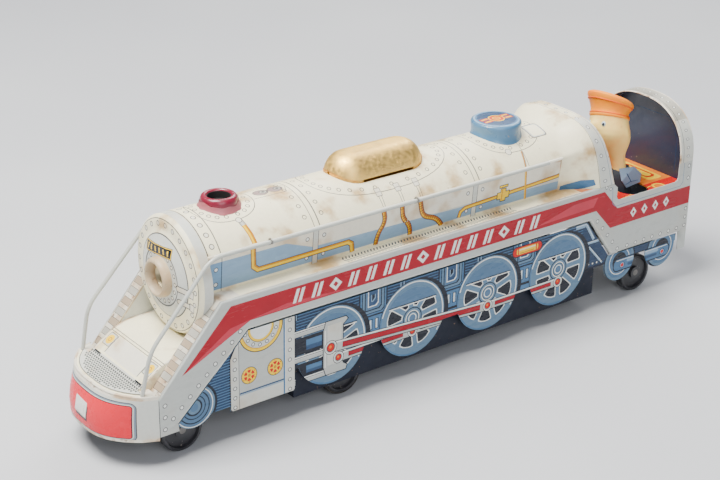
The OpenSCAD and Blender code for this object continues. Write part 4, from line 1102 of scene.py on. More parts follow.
def smokebox():
    def place(u, v):
        return (profile(FACE, math.hypot(u, v)), u, BOILER_Z + v)

    def normal(u, v):
        r = math.hypot(u, v) or 1e-6
        slope = (profile(FACE, r + 0.1) - profile(FACE, max(0, r - 0.1))) / 0.2
        return (1, -slope * u / r, -slope * v / r)
    art = Print((CREAM_TIN, circle(0, 0, 31.9, 96)))
    for r, _ in FACE[2:-1]:
        ring = circle(0, 0, r, 72)
        art.guide(*(ring + ring[:1]))
    art.add(PALE_TIN, circle(0, 0, 24.2, 72))
    for r, w in ((30.2, 0.4), (22.6, 0.6), (16.0, 0.75)):
        art.add(LINE_TIN, circle(0, 0, r, 72))
        art.add(CREAM_TIN if r > 24 else PALE_TIN, circle(0, 0, r - w, 72))
    for count, r, size in ((24, 27.4, 1.05), (18, 13.2, 0.85)):
        art.rivets([(r * math.cos(2 * math.pi * k / count), r * math.sin(2 * math.pi * k / count))
                    for k in range(count)], size, WHITE_TIN, INK_TIN, 0.42)
    # plate with plain bars instead of a number, and two hinge straps
    plate = (-3.4, 13.8)
    tilt = 6
    for mat, half_x, half_z in ((LINE_TIN, 13.3, 2.9), (YELLOW_TIN, 13.0, 2.6), (INK_TIN, 12.6, 2.2)):
        art.add(mat, turned(rect(-half_x, -half_z, half_x, half_z), tilt, *plate))
    for k in range(6):
        bar = rect(-10.6 + k * 4.0, -1.4, -9.4 + k * 4.0, 1.4)
        art.add(YELLOW_TIN, turned(bar, tilt, *plate))
    for z in (-1.6, -9.2):
        strap = turned(rounded(-5.0, -1.3, 5.0, 1.3, 1.2), -8, 19.6, z)
        art.add(INK_TIN, grown(strap, 0.5))
        art.add(WHITE_TIN, strap)
        pad = turned(rect(-1.5, -1.9, 1.5, 1.9), -8, 24.0, z - 0.6)
        art.add(INK_TIN, grown(pad, 0.4))
        art.add(WHITE_TIN, pad)
    art.add(None, circle(0, 0, 9.7, 48))
    sheet("smokebox_face", art, place, normal, replaces="smokebox_front")
    rear, front = BOILER_FRONT + 0.02, 151.25
    rim = [(x, BOILER_R) for x in (rear, 147.5, 149.5, front)]
    rim += [(x, BOILER_R - TIN) for x in (front, rear)]
    lathe_x("smokebox_rim", rim, PALE_TIN, slot="tin_cream")
    ring = [(156.9, 7.2), (156.9, 10.7), (159.4, 10.7), (160.8, 10.4), (161.7, 9.8), (162.1, 9.2),
            (162.1, 8.8), (161.7, 8.35), (160.2, 7.9), (158.0, 7.4)]
    ring_mat = rusted("lamp_rim_tan", (0.50, 0.39, 0.25), amount=0.6, rough=0.45)
    lathe_x("headlamp_rim", ring, ring_mat, replaces="headlamp_ring", slot="tin_cream")
    dish = [(156.8, 7.1), (155.4, 6.2), (154.2, 4.6), (153.5, 2.4), (153.3, 0.8), (152.9, 0.8),
            (153.0, 2.6), (153.8, 4.9), (155.0, 6.6), (156.3, 7.1)]
    # tarnished brass dish; its darker colour and heavy grime also paint the shade inside the lamp's
    # bore
    bowl_mat = metal("lamp_bowl", (0.50, 0.42, 0.26), rough=0.35, grime=0.8)
    lathe_x("headlamp_bowl", dish, bowl_mat, replaces="headlamp_dish", slot="tin_cream")


def lathe_x(name, section, mat, **more):
    """A ring turned about the boiler's axis from a closed section of (x, radius)."""
    n = 96
    rings = []
    for k in range(n):
        a = 2 * math.pi * k / n
        rings.append([(x, r * math.sin(a), BOILER_Z + r * math.cos(a)) for x, r in section])
    return ring_solid(name, rings, mat, **more)


# Chimney and domes ---------------------------------------------------------------------
def on_boiler(y):
    return BOILER_Z + math.sqrt(max(0.0, BOILER_R ** 2 - y * y))


def sweep_z(x0, n, section):
    """Sections set round an upright axis; section(k, angle) gives (radius, height) pairs."""
    rings = []
    for k in range(n):
        a = 2 * math.pi * k / n
        rings.append([(x0 + r * math.cos(a), r * math.sin(a),
                       h if h > 0 else on_boiler(r * math.sin(a)) - h)
                      for r, h in section(k, a)])
    return rings


def chimney():
    """The stub of a chimney. Heights below zero are measured up from the boiler's skin."""
    maroon = enamel("maroon_enamel", (0.19, 0.006, 0.026), rough=0.3, coat=0.35, chips=0.5,
                    under=(0.40, 0.16, 0.16), lift=1.5)
    worn = enamel("maroon_worn", (0.36, 0.10, 0.12), rough=0.45, coat=0.1, chips=0.8,
                  under=(0.62, 0.50, 0.42), lift=1.2)
    # near-black for the chimney's inner floor and bore lining: painted shade inside the chimney
    bore_shade = enamel("chimney_inside_painted_shade", (0.01, 0.008, 0.008), rough=0.7, coat=0.0)
    x0 = (low("chimney").x + high("chimney").x) / 2
    barrel = [(11.5, -0.05), (11.2, -0.5), (10.7, -1.0), (10.3, -1.6), (10.1, 119.6),
              (10.0, 121.0), (9.8, 122.2), (9.35, 123.1), (8.6, 123.7), (7.7, 123.95),
              (7.0, 123.75), (6.55, 123.2), (6.35, 122.2), (6.3, 119.4), (8.6, -0.4),
              (10.9, -0.02)]
    bore = [(6.45, 119.0), (6.45, 122.9), (6.15, 122.9), (6.15, 119.0)]

    def foot(k, a):
        wave = 0.35 * math.sin(5 * a + 0.6) + 0.25 * math.sin(9 * a)
        tab = 1.05 if k % 12 in (0, 1, 2) else 1.0
        return [(11.6 * tab, -0.05), (11.0, -0.8), (10.6, -1.8), (10.3, -2.9 - wave),
                (10.0, -2.0), (10.6 * tab, -0.05)]
    ring_solid("chimney_pipe", sweep_z(x0, 72, lambda k, a: barrel), maroon, replaces="chimney",
               slot="tin_maroon", sharp=60)
    ring_solid("chimney_worn_foot", sweep_z(x0, 72, foot), worn, slot="tin_maroon", sharp=60)
    floor = [[(x, y, z) for x, y in circle(x0, 0, 6.5, 48)] for z in (118.75, 119.15)]
    loft("chimney_floor", floor, bore_shade, slot="tin_maroon")
    ring_solid("chimney_bore", sweep_z(x0, 48, lambda k, a: bore), bore_shade, slot="tin_maroon")


def dome(name, x0, plan, steps, mat, replaces, slot):
    """A pressed dome: plan(inset) gives its outline; steps are (inset, height)."""
    rings = []
    for inset, height in steps:
        ring = []
        for x, y in plan(inset):
            z = height if height > 0 else on_boiler(y) - height
            ring.append((x0 + x, y, z))
        rings.append(ring)
    last = rings[-1]
    centre = Vector((x0, 0, last[0][2] + 0.05))
    for t in (0.66, 0.33, 0.03):
        rings.append([tuple(centre + (Vector(p) - centre) * t) for p in last])
    return loft(name, rings, mat, replaces=replaces, slot=slot)


def domes():
    """The long gold sand dome and the round blue steam dome with its printed top."""
    gold = metal("worn_gold", (0.98, 0.66, 0.20), rough=0.48, grime=0.35, scale=500,
                 tarnish=(0.36, 0.22, 0.12))
    lo, hi = low("sand_dome"), high("sand_dome")
    half_x, half_y, top = (hi.x - lo.x) / 2, hi.y, hi.z

    def gold_plan(inset):
        x, y = half_x - inset, half_y - inset
        return rounded(-x, -y, x, y, max(1.0, y - 0.6), 12)
    shoulder, turn_in = 116.0, half_y - 3.0
    steps = [(0.0, -0.02), (0.0, -1.6), (0.0, 115.2)]
    for k in range(1, 12):
        a = math.radians(90 * k / 12)
        steps.append((turn_in * (1 - math.cos(a)), shoulder + (top - 0.2 - shoulder) * math.sin(a)))
    dome("sand_dome_shell", (lo.x + hi.x) / 2, gold_plan, steps, gold, "sand_dome", "tin_gold")
    blue = enamel("steam_dome_blue", (0.060, 0.165, 0.29), rough=0.3, coat=0.5, chips=0.7,
                  under=(0.30, 0.22, 0.16), lift=1.25)
    lo, hi = low("steam_dome"), high("steam_dome")
    x0, r = (lo.x + hi.x) / 2, hi.y

    def disc_plan(inset):
        return circle(0, 0, r - inset, 72)
    steps = [(-0.1, -0.02), (0.1, -0.6), (0.45, -1.2), (0.55, 121.6), (0.3, 123.0), (0.25, 124.4),
             (0.5, 125.2), (1.0, 125.7), (1.5, 125.9)]
    dome("steam_dome_drum", x0, disc_plan, steps, blue, "steam_dome", "tin_blue")
    art = Print((PALE_BLUE_TIN, circle(0, 0, 13.5, 64)))
    art.discs(0, 0, 64, (BLUE_TIN, 12.4), (MID_BLUE_TIN, 11.4))
    art.discs(0, 0, 32, (YELLOW_TIN, 5.0), (RED_TIN, 4.2), (YELLOW_TIN, 2.6), (ORANGE_TIN, 1.9))
    for side in (-1, 1):
        for dy in (-1.9, 1.9):
            x = 7.6 * side
            art.add(RED_TIN, rect(x - 2.9, dy - 1.35, x + 2.9, dy + 1.35))
            art.add(YELLOW_TIN, rect(x - 2.2, dy - 0.6, x + 2.2, dy + 0.6))
    crown, bend = 126.3, 0.0016
    sheet("steam_dome_top", art, lambda u, v: (x0 + u, v, crown - bend * (u * u + v * v)),
          lambda u, v: (2 * bend * u, 2 * bend * v, 1), thick=0.45)


# Handrails -----------------------------------------------------------------------------
def handrails():
    """A bent wire down each side, held by pins on the boiler."""
    mat = enamel("wire_cream", (0.46, 0.47, 0.43), rough=0.33, coat=0.3, chips=0.5,
                 under=(0.35, 0.25, 0.18), lift=1.1)
    steel = metal("pin_steel", (0.30, 0.29, 0.27), rough=0.4)
    wire_r, rail_y, rail_z = 1.1, 30.2, 104.6
    loop_r, pin_r = 1.75, 0.55
    for side, name in ((1, "left"), (-1, "right")):
        corners = [(188.8, side * 30.9, 40.4), (183.9, side * 32.0, 64.0),
                   (BOILER_FRONT, side * rail_y, rail_z), (-84.0, side * rail_y, rail_z)]
        tube(f"handrail_wire_{name}", smooth_path(corners, 7.0), wire_r, mat,
             replaces=f"handrail_{name}", slot="tin_cream")
    for side, name in ((1, "left"), (-1, "right")):
        for k, x in enumerate((110.0, 14.0)):
            loop = [(x, side * (rail_y + loop_r * math.sin(a)), rail_z + loop_r * math.cos(a))
                    for a in (math.radians(-150 + 30 * j) for j in range(9))]
            loop = ([(x, side * 26.9, 102.2)] + loop + [(x + 1.4, side * 27.4, 102.6),
                                                        (x + 3.6, side * 28.6, 103.0)])
            tube(f"eyelet_{name}_{k}", loop, pin_r, steel, n=8, slot="bare_steel",
                 replaces="handrail_eyelets" if (side, k) == (1, 0) else ())


# Cab -----------------------------------------------------------------------------------
def boiler_reach(t):
    """How far the boiler's outline lies from the centre of the running boards at angle t."""
    drop = BOILER_Z - LEDGE
    around = drop * math.sin(t) + math.sqrt(BOILER_R ** 2 - (drop * math.cos(t)) ** 2)
    lean = (CREASE_Y - FOOT_Y) / (CREASE_Z - LEDGE)
    c = abs(math.cos(t)) - lean * math.sin(t)
    return min(around, FOOT_Y / c) if c > 0.1 else around


def arch_reach(t, a, b, n):
    """The same for a rounded arch of half width a and height b."""
    return 1 / ((abs(math.cos(t)) / a) ** n + (abs(math.sin(t)) / b) ** n) ** (1 / n)


def flare_place(u, v):
    """u runs 0 to 1 from the boiler to the window's front edge, v is the angle in degrees."""
    t = math.radians(v)
    r0 = boiler_reach(t)
    r1 = arch_reach(t, HALF, FRONT_ARCH_TOP - LEDGE, FRONT_CURVE)
    q = min(1.0, u / 0.72)
    r = r0 + (r1 - r0) * q * q * (3 - 2 * q)
    end = FRONT_ARCH_X - (FRONT_ARCH_TOP - LEDGE - r1 * math.sin(t)) * 16 / 51
    return (BOILER_REAR + (end - BOILER_REAR) * u, r * math.cos(t), LEDGE + r * math.sin(t))


def cab_front():
    """The hood that widens from the boiler to the cab's window."""
    wide = 40.0

    def place(u, v):
        return flare_place(u / wide, v)

    def normal(u, v):
        n = numeric_normal(place, u, min(179.5, max(0.5, v)), 0.1)
        out = Vector(place(u, v)) - Vector((place(u, v)[0], 0, LEDGE + 10))
        return n if n.dot(out) > 0 else -n
    art = Print((CREAM_TIN, rect(0, 0, wide, 180)))
    for k in range(1, 48):
        art.guide((0, 180 * k / 48), (wide, 180 * k / 48))
    for k in range(1, 14):
        art.guide((wide * k / 14, 0), (wide * k / 14, 180))
    art.add(PALE_TIN, rect(wide - 12.5, 0, wide, 66))
    art.add(PALE_TIN, rect(wide - 12.5, 114, wide, 180))
    art.line(LINE_TIN, [(wide - 13, 0), (wide - 13, 180)], 0.35)
    art.line(BLUE_TIN, [(wide - 2.6, 0), (wide - 2.6, 180)], 0.35)
    art.rivets([(wide - 8, 6 + 12 * k) for k in range(15)], 1.3, edge=0.5)
    art.add(CREAM_RUST, rect(wide - 1.0, 0, wide, 180))
    for side in (0, 1):
        base = [(2, 6), (15, 11), (23, 10), (24, 4), (14, 0), (2, 0)]
        shape = [(x, y if side == 0 else 180 - y) for x, y in base]
        art.add(BLUE_TIN, shape)
    sheet("cab_front_shell", art, place, normal, replaces="cab_front", back=CAB_NAVY)


def arch_point(t, a, b, n=REAR_CURVE):
    r = arch_reach(t, a, b, n)
    return r * math.cos(t), LEDGE + r * math.sin(t)


def cab_arch():
    """The arched band over the cab's rear, folded inwards at its front edge."""
    b = REAR_ARCH_TOP - LEDGE

    def place(u, v):
        t = math.radians(v)
        y, z = arch_point(t, HALF, b)
        fold = max(0.0, u - 11.0)
        pull = 1 - fold * 0.5 / 36
        return (REAR + u if u < 11 else REAR + 11 + fold * 0.7, y * pull,
                LEDGE + (z - LEDGE) * pull)

    def normal(u, v):
        n = numeric_normal(place, u, min(179.5, max(0.5, v)), 0.2)
        out = Vector((0, place(u, v)[1], place(u, v)[2] - LEDGE + 4))
        return n if n.dot(out) > 0 else -n
    width = SILL_REAR - REAR
    # the arch's top shows this darker grey between the pale sides: rusted print darkened as painted
    # shade
    art = Print((ARCH_SHADED_TIN, rect(0, 0, width, 180)))
    for k in range(1, 60):
        art.guide((0, 3 * k), (width, 3 * k))
    art.guide((11, 0), (11, 180))
    art.add(PALE_TIN, rect(0, 0, width, 42))
    art.add(PALE_TIN, rect(0, 138, width, 180))
    art.add(CREAM_RUST, rect(width - 1.2, 0, width, 180))
    art.add(CREAM_RUST, rect(0, 30, 0.9, 150))
    art.line(LINE_TIN, [(8.6, 0), (8.6, 180)], 0.3)
    art.rivets([(4.8, 6 + 8.4 * k) for k in range(21)], 0.95, edge=0.4)
    sheet("cab_arch_band", art, place, normal, replaces="cab_arch",
          back=CAB_NAVY)


def cab_rear():
    """The rear wall, printed on both faces."""
    b = REAR_ARCH_TOP - LEDGE
    inset, foot = TIN + 0.05, 35.2
    outline = [(HALF - inset, foot)]
    outline += [arch_point(math.radians(3 * k), HALF - inset, b - inset) for k in range(61)]
    outline += [(-HALF + inset, foot)]
    art = Print((CAB_NAVY, outline))
    grey_side = tin("rear_grey", GREY, foxing=0.25, wear=0.4)
    art.line(MID_BLUE_TIN, [(-22, 70), (-22, 92), (-14, 104), (14, 104), (22, 92), (22, 70)], 0.4)
    sheet("cab_rear_inside", art, lambda u, v: (REAR + TIN, u, v), lambda u, v: (1, 0, 0),
          replaces="cab_rear_wall", thick=TIN - 0.05, back=CAB_NAVY)
    art = Print((grey_side, outline))
    art.add(CRIMSON_TIN, rect(-HALF, 53.6, HALF, 65.2))
    for y in (-24, -12, 0, 12, 24):
        art.add(WHITE_PRINT, [(y - 3.0, 59.4), (y, 55.8), (y + 3.0, 59.4), (y, 63.0)])
    art.rivets([(y, 38.2) for y in range(-30, 31, 10)] + [(y, 68) for y in range(-30, 31, 10)],
               0.9)
    art.rivets([arch_point(math.radians(t), HALF - 4.4, b - 4.4) for t in range(10, 171, 10)],
               0.85)
    art.line(LINE_TIN, [(-16, 72), (-16, 92), (-9, 100), (9, 100), (16, 92), (16, 72), (-16, 72)],
             0.45)
    art.add(NAVY_TIN, [(-8, 84), (8, 84), (8, 93), (4.6, 96), (-4.6, 96), (-8, 93)])
    sheet("cab_rear_outside", art, lambda u, v: (REAR + 0.02, u, v), lambda u, v: (-1, 0, 0),
          thick=0.02, back=CAB_NAVY)


def cab_floor():
    """The printed floor with the slot that the driver swings along."""
    lo, hi = low("cab_floor"), high("cab_floor")
    art = Print((ORANGE_TIN, rect(lo.x, lo.y, hi.x, hi.y)))
    art.add(RED_TIN, rect(lo.x, 20, hi.x, 31))
    art.add(RED_TIN, rect(lo.x, -31, hi.x, -20))
    art.add(YELLOW_TIN, rounded(-198, -17, -186, 17, 3))
    art.add(RED_TIN, rounded(-196, -13, -188, 13, 3))
    art.add(YELLOW_TIN, rounded(-194.6, -11, -189.4, 11, 2))
    for y in (-14, 14):
        art.outlined(YELLOW_TIN, -184, y * 1.9, 4.6, RED_TIN, 0.9, 24)
        art.outlined(ORANGE_TIN, -184, y * 1.9, 2.4, RED_TIN, 0.5, 20)
        art.line(RED_TIN, [(-180, y * 1.6), (-150, y * 1.9)], 1.0)
        art.line(YELLOW_TIN, [(-180, y * 1.7), (-150, y * 2.0)], 0.7)
    for k in range(5):
        art.line(RED_TIN, [(-152 + k * 3, -30), (-156 + k * 3, 30)], 0.7)
    slot = arc(-167, 19, 10, 0, 180, 20) + arc(-167, -19, 10, 180, 360, 20)
    art.add(INK_TIN, offset_line(slot, -0.5, True))
    art.add(None, slot)
    sheet("cab_floor_print", art, lambda u, v: (u, v, FLOOR_Z), lambda u, v: (0, 0, 1),
          replaces="cab_floor", back=CAB_NAVY)


# Pilot -----------------------------------------------------------------------------------
APRON_FOOT = 15.2
APRON_TOP = 40.0
APRON_HALF = 32.5
APRON_CORNER = 0.9


def apron_point(u, z):
    """u runs from -1 to 1 across the front; the corners beyond APRON_CORNER are flat facets."""
    t = (APRON_TOP - z) / 26.0
    bulge = 12.2 + 5.4 * math.sin(0.72 * math.pi * t)
    x0 = SEAM + 8
    if abs(u) <= APRON_CORNER:
        y = APRON_HALF * u / APRON_CORNER
        return (x0 + bulge * (1 - abs(y / APRON_HALF) ** 2.8), y, z)
    k = (abs(u) - APRON_CORNER) / (1 - APRON_CORNER)
    return (x0 + (SEAM - x0) * k, math.copysign(APRON_HALF + (HALF - APRON_HALF) * k, u), z)


def pilot():
    """The bulging apron with its red panel, then the deck behind it."""
    def place(u, v):
        return apron_point(u / 40, v)

    def normal(u, v):
        n = numeric_normal(place, u, v, 0.1)
        return n if n.x > 0 else -n
    art = Print((PALE_TIN, rect(-40, APRON_FOOT, 40, APRON_TOP)))
    for k in range(-17, 18):
        art.guide((k * 2, APRON_FOOT), (k * 2, APRON_TOP))
    for side in (-1, 1):
        art.guide((side * 36, APRON_FOOT), (side * 36, APRON_TOP))
    for z in (18, 24, 30, 36):
        art.guide((-40, z), (40, z))
    panel = rounded(-32.4, 17.6, 32.4, 35.6, 1.2)
    art.add(LINE_TIN, grown(panel, 1.95))
    art.add(STEP_BLUE_TIN, grown(panel, 1.6))
    art.add(PALE_TIN, grown(panel, 0.9))
    art.add(INK_TIN, grown(panel, 0.4))
    art.add(PILOT_TIN, panel)
    lamp = [(-6.4, 23.6), (5.8, 22.8), (5.8, 30.8), (-6.4, 31.6)]
    art.add(INK_TIN, [(x + 1.5, z - 1.7) for x, z in lamp])
    art.add(STEP_GREY, [(x + 0.5, z - 0.5) for x, z in lamp])
    art.add(WHITE_PRINT, lamp)
    art.line(PALE_TIN, [(-4.2, 24.0), (3.6, 23.0), (3.6, 29.2)], 0.7)
    art.add(CREAM_RUST, rect(-40, 38.9, 40, APRON_TOP))
    art.add(CREAM_RUST, rect(-40, APRON_FOOT, 40, APRON_FOOT + 1.6))
    sheet("pilot_front", art, place, normal, replaces="pilot_apron")
    deck()


DECK = [(188.2, 41.2), (184.9, 42.8), (179.0, 47.3), (172.0, 51.6), (165.0, 53.6), (157.0, 54.1),
        (140.0, 54.1)]


def deck_line():
    """The deck's curve as points with their length along it, rounded at each corner."""
    path = smooth_path([(x, 0, z) for x, z in DECK], 2.4, 4)
    total, out = 0.0, []
    for i, p in enumerate(path):
        if i:
            total += (p - path[i - 1]).length
        out.append((total, p.x, p.z))
    return out


def deck():
    """The deck that drops from the smokebox to the pilot, its cheeks and its front plate."""
    line = deck_line()
    length = line[-1][0]

    def place(u, v):
        for (s0, x0, z0), (s1, x1, z1) in zip(line, line[1:]):
            if u <= s1:
                k = (u - s0) / (s1 - s0)
                return (x0 + (x1 - x0) * k, v, z0 + (z1 - z0) * k)
        return (line[-1][1], v, line[-1][2])

    def normal(u, v):
        a = Vector(place(max(0, u - 0.6), v))
        b = Vector(place(min(length, u + 0.6), v))
        d = b - a
        return (d.z, 0, -d.x) if d.x < 0 else (-d.z, 0, d.x)
    half = WING_INNER - 0.1
    art = Print((CREAM_TIN, rect(0, -half, length, half)))
    for step in line[1:-1]:
        art.guide((step[0], -half), (step[0], half))
    for side in (-1, 1):
        x, y = 12.4, side * 20.4
        art.add(LINE_TIN, rounded(x - 3.9, y - 3.4, x + 3.9, y + 3.4, 0.6))
        art.add(PALE_TIN, rounded(x - 3.6, y - 3.1, x + 3.6, y + 3.1, 0.5))
        art.discs(x, y, 20, (PALE_TIN, 3.3), (YELLOW_TIN, 2.9), (GOLD_TIN, 1.3), (YELLOW_TIN, 0.8))
        art.add(CREAM_RUST, rect(0, side * half - 1.2, length, side * half + 1.2))
        art.line(LINE_TIN, [(5.4, side * 16.6), (16.4, side * 16.6)], 0.55)
        art.line(WHITE_PRINT, [(5.4, side * 16.1), (16.4, side * 16.1)], 0.4)
        art.line(LINE_TIN, [(16.2, side * 17.6), (16.2, side * 23.6)], 0.35)
    art.add(WHITE_TIN, rect(5.2, -15.6, 16.6, 15.6))
    art.line(LINE_TIN, [(17.2, -half), (17.2, half)], 0.35)
    art.line(LINE_TIN, [(18.8, -half), (18.8, half)], 0.35)
    sheet("pilot_deck_slope", art, place, normal, replaces="pilot_deck")
    cheek = [(x, z) for _, x, z in line if x > 170] + [(170, 38), (182.4, 37.2), (188.2, 40.4)]
    for side, name in ((1, "left"), (-1, "right")):
        art = Print((CREAM_TIN, cheek))
        sheet(f"pilot_deck_cheek_{name}", art, lambda u, v, side=side: (u, side * (half + 0.02), v),
              lambda u, v, side=side: (0, side, 0))
    edge = [apron_point(k / 20, APRON_TOP)[:2] for k in range(-20, 21)]
    outline = [(x + 0.02, y) for x, y in edge]
    art = Print((CREAM_RUST, outline))
    inner = [(x - 1.2, y * 0.97) for x, y in edge if abs(y) < APRON_HALF + 0.1]
    art.add(CREAM_TIN, inner)
    for side in (-1, 1):
        art.add(CREAM_RUST, [(SEAM, side * 26), (SEAM, side * 36), (190.3, side * 32.4),
                             (188.6, side * 27)])
    sheet("pilot_deck_front", art, lambda u, v: (u, v, 41.0 - 0.0072 * abs(v)),
          lambda u, v: (0, 0, 1), thick=0.7)
    tread([(x - 1.0, y * 0.97) for x, y in inner])
    rings = []
    for k in range(-40, 41):
        x, y = apron_point(k / 40, APRON_TOP)[:2]
        d = Vector((0.3, 0, 0)) if abs(k) < 37 else Vector((0.1, 0.2 * (1 if k > 0 else -1), 0))
        centre = Vector((x, y, 40.55)) - d * 2.2
        rings.append([tuple(centre + Vector((0.75 * math.cos(a), 0, 0.6 * math.sin(a))))
                      for a in (2 * math.pi * j / 10 for j in range(10))])
    loft("pilot_rim", rings, CREAM_RUST, slot="tin_cream")


SCALE_ROW = 1.95
SCALE_STEP = 1.62
TREAD_HALF = 31.0
SCALE_FAN = 0.35 * 0.25 / TREAD_HALF


def tread(front):
    """The printed step plate: rows of small scales from the slits to the front edge."""
    fold_x, slit_x = DECK[0][0], DECK[1][0]
    rise = (DECK[1][1] - DECK[0][1]) / (fold_x - slit_x)

    def place(u, v):
        return (u, v, DECK[0][1] + 0.16 + rise * max(0.0, fold_x - u))
    start = slit_x + 0.5
    front = [p for p in front if p[0] > fold_x]
    outline = front + [(fold_x, front[-1][1]), (fold_x, 25.6), (start - 0.9, 25.6),
                       (start - 0.9, -25.6), (fold_x, -25.6), (fold_x, front[0][1])]
    art = Print((PALE_TIN, outline))
    art.guide((fold_x, -30), (fold_x, 30))
    art.line(LINE_TIN, front, 0.7)
    tip = max(x for x, _ in front)
    for k in range(-14, 15):
        y = k * SCALE_ROW
        reach = start + (tip - start) * (1 - (y / TREAD_HALF) ** 2) - 0.6
        x = start + 0.3
        while x < reach - 0.6:
            shift = SCALE_FAN * (x - start) * y
            art.add(SCALE_TIN, [(x, y + shift - 0.95), (x + 1.3, y + shift + 0.25),
                                (x + 1.15, y + shift + 0.9), (x, y + shift + 0.9)])
            x += SCALE_STEP
    for side in (-1, 1):
        art.add(INK_TIN, rect(slit_x - 0.4, side * 20.9 - 3.2, slit_x + 0.75, side * 20.9 + 3.2))
    sheet("pilot_tread", art, place, lambda u, v: (0, 0, 1), thick=0.14)


# Driver ------------------------------------------------------------------------------------
HEAD_BASE = Vector((-165.0, 10.0, 78.0))
HEAD_UP = Vector((-0.16, -0.205, 0.966)).normalized()
HEAD_FRONT = Vector((0.987, 0.0, 0.163)).normalized()
HEAD_LEFT = HEAD_UP.cross(HEAD_FRONT).normalized()
HAT_RIM = 29.6


def at_head(forward, left, up):
    """A point given in the head's own directions."""
    return HEAD_BASE + HEAD_FRONT * forward + HEAD_LEFT * left + HEAD_UP * up


def bump(angle, centre, width):
    """A smooth hill round the head, highest at one angle."""
    gap = (angle - centre + math.pi) % (2 * math.pi) - math.pi
    return math.exp(-(gap / width) ** 2)


def driver_head(skin):
    """Neck and face as rings with a nose, cheeks, chin and ears, then the two eyes."""
    sections = [(-3.5, 0.0, 4.4), (0.0, 0.8, 4.5), (4.0, 2.2, 4.8), (7.5, 3.9, 5.8), (10.5, 5.6, 7.6),
                (13.5, 7.4, 9.8), (16.5, 8.8, 11.6), (19.5, 9.9, 12.6), (22.5, 10.6, 12.8),
                (25.5, 10.9, 12.4), (28.0, 11.0, 12.0), (HAT_RIM + 1.6, 11.0, 11.7)]
    rings = []
    for (h0, f0, r0), (h1, f1, r1) in zip(sections, sections[1:] + sections[-1:]):
        for k in range(3 if h1 > h0 else 1):
            t = k / 3
            h, f, r = h0 + (h1 - h0) * t, f0 + (f1 - f0) * t, r0 + (r1 - r0) * t
            lean = max(0.0, h / HAT_RIM)
            ring = []
            for j in range(64):
                a = 2 * math.pi * j / 64
                nose = 3.4 * bump(a, -0.08, 0.24) * math.exp(-((h - 24.2) / 3.0) ** 2)
                cheek = (bump(a, 0.62, 0.4) + bump(a, -0.62, 0.4)) * math.exp(-((h - 18.5) / 4) ** 2)
                chin = 1.2 * bump(a, 0, 0.5) * math.exp(-((h - 15.0) / 2.8) ** 2)
                ear = (bump(a, 1.75, 0.15) + bump(a, -1.75, 0.15)) * math.exp(-((h - 20) / 3) ** 2)
                reach = r + nose + 0.7 * cheek + chin + 0.9 * ear
                tilt = reach * lean * (0.19 * math.cos(a) + 0.056 * math.sin(a))
                ring.append(tuple(at_head(f + reach * math.cos(a), reach * math.sin(a), h + tilt)))
            rings.append(ring)
    loft("driver_face", rings, skin, "driver", replaces="driver_head", slot="vinyl_skin")
    pale = enamel("eye_pale", (0.42, 0.58, 0.66), rough=0.3, coat=0.4, chips=0.0)
    dark = enamel("eye_dark", (0.015, 0.02, 0.04), rough=0.15, coat=0.8, chips=0.0)
    for side, name in ((1, "left"), (-1, "right")):
        a = side * math.radians(27)
        for mat, out, r, part in ((pale, 11.75, 1.9, "rim"), (dark, 12.75, 1.1, "pupil")):
            centre = at_head(10.9 + out * math.cos(a), out * math.sin(a), 27.4)
            ball(f"driver_eye_{part}_{name}", centre, (r * 0.8, r * 0.8, r), mat, "driver",
                 "vinyl_skin")


def hat_ring(h, f, r, n=64):
    """A ring of the cap at height h and forward shift f; it tips further towards the crown."""
    k = min(1.0, max(0.0, (h - HAT_RIM) / 11.5))
    front, left = 0.19 + 0.155 * k, 0.056 - 0.12 * k
    ring = []
    for j in range(n):
        a = 2 * math.pi * j / n
        tilt = r * (front * math.cos(a) + left * math.sin(a))
        ring.append(at_head(f + r * math.cos(a), r * math.sin(a), h + tilt))
    return ring


def driver_cap(felt):
    """The peaked-crown cap, as rows of height, forward shift and radius."""
    rows = [(30.2, 11.0, 11.2), (30.4, 11.0, 12.1), (31.0, 11.0, 12.4), (31.8, 11.0, 12.2),
            (32.6, 11.0, 11.7), (34.4, 11.0, 11.6), (36.8, 10.8, 12.3), (39.0, 10.7, 13.3),
            (40.6, 10.6, 14.2), (42.0, 10.5, 14.2), (43.0, 10.5, 13.4), (43.8, 10.5, 11.6),
            (44.3, 10.5, 8.4), (44.5, 10.5, 4.4), (44.55, 10.5, 0.5)]
    rings = [[tuple(p) for p in hat_ring(*row)] for row in rows]
    loft("driver_cap_shell", rings, felt, "driver", replaces="driver_cap", slot="vinyl_orange")
    deep = vinyl("vinyl_deep_orange", (0.78, 0.10, 0.004), (0.9, 0.17, 0.006), rough=0.5)
    for name, h, f, r, thick in (("brim", 32.3, 11.0, 11.85, 0.5), ("crown", 39.2, 10.7, 13.3, 0.55)):
        ring = hat_ring(h, f, r, 48)
        tube(f"driver_cap_{name}_line", ring + ring[:2], thick, deep, "driver", n=8,
             slot="vinyl_orange")


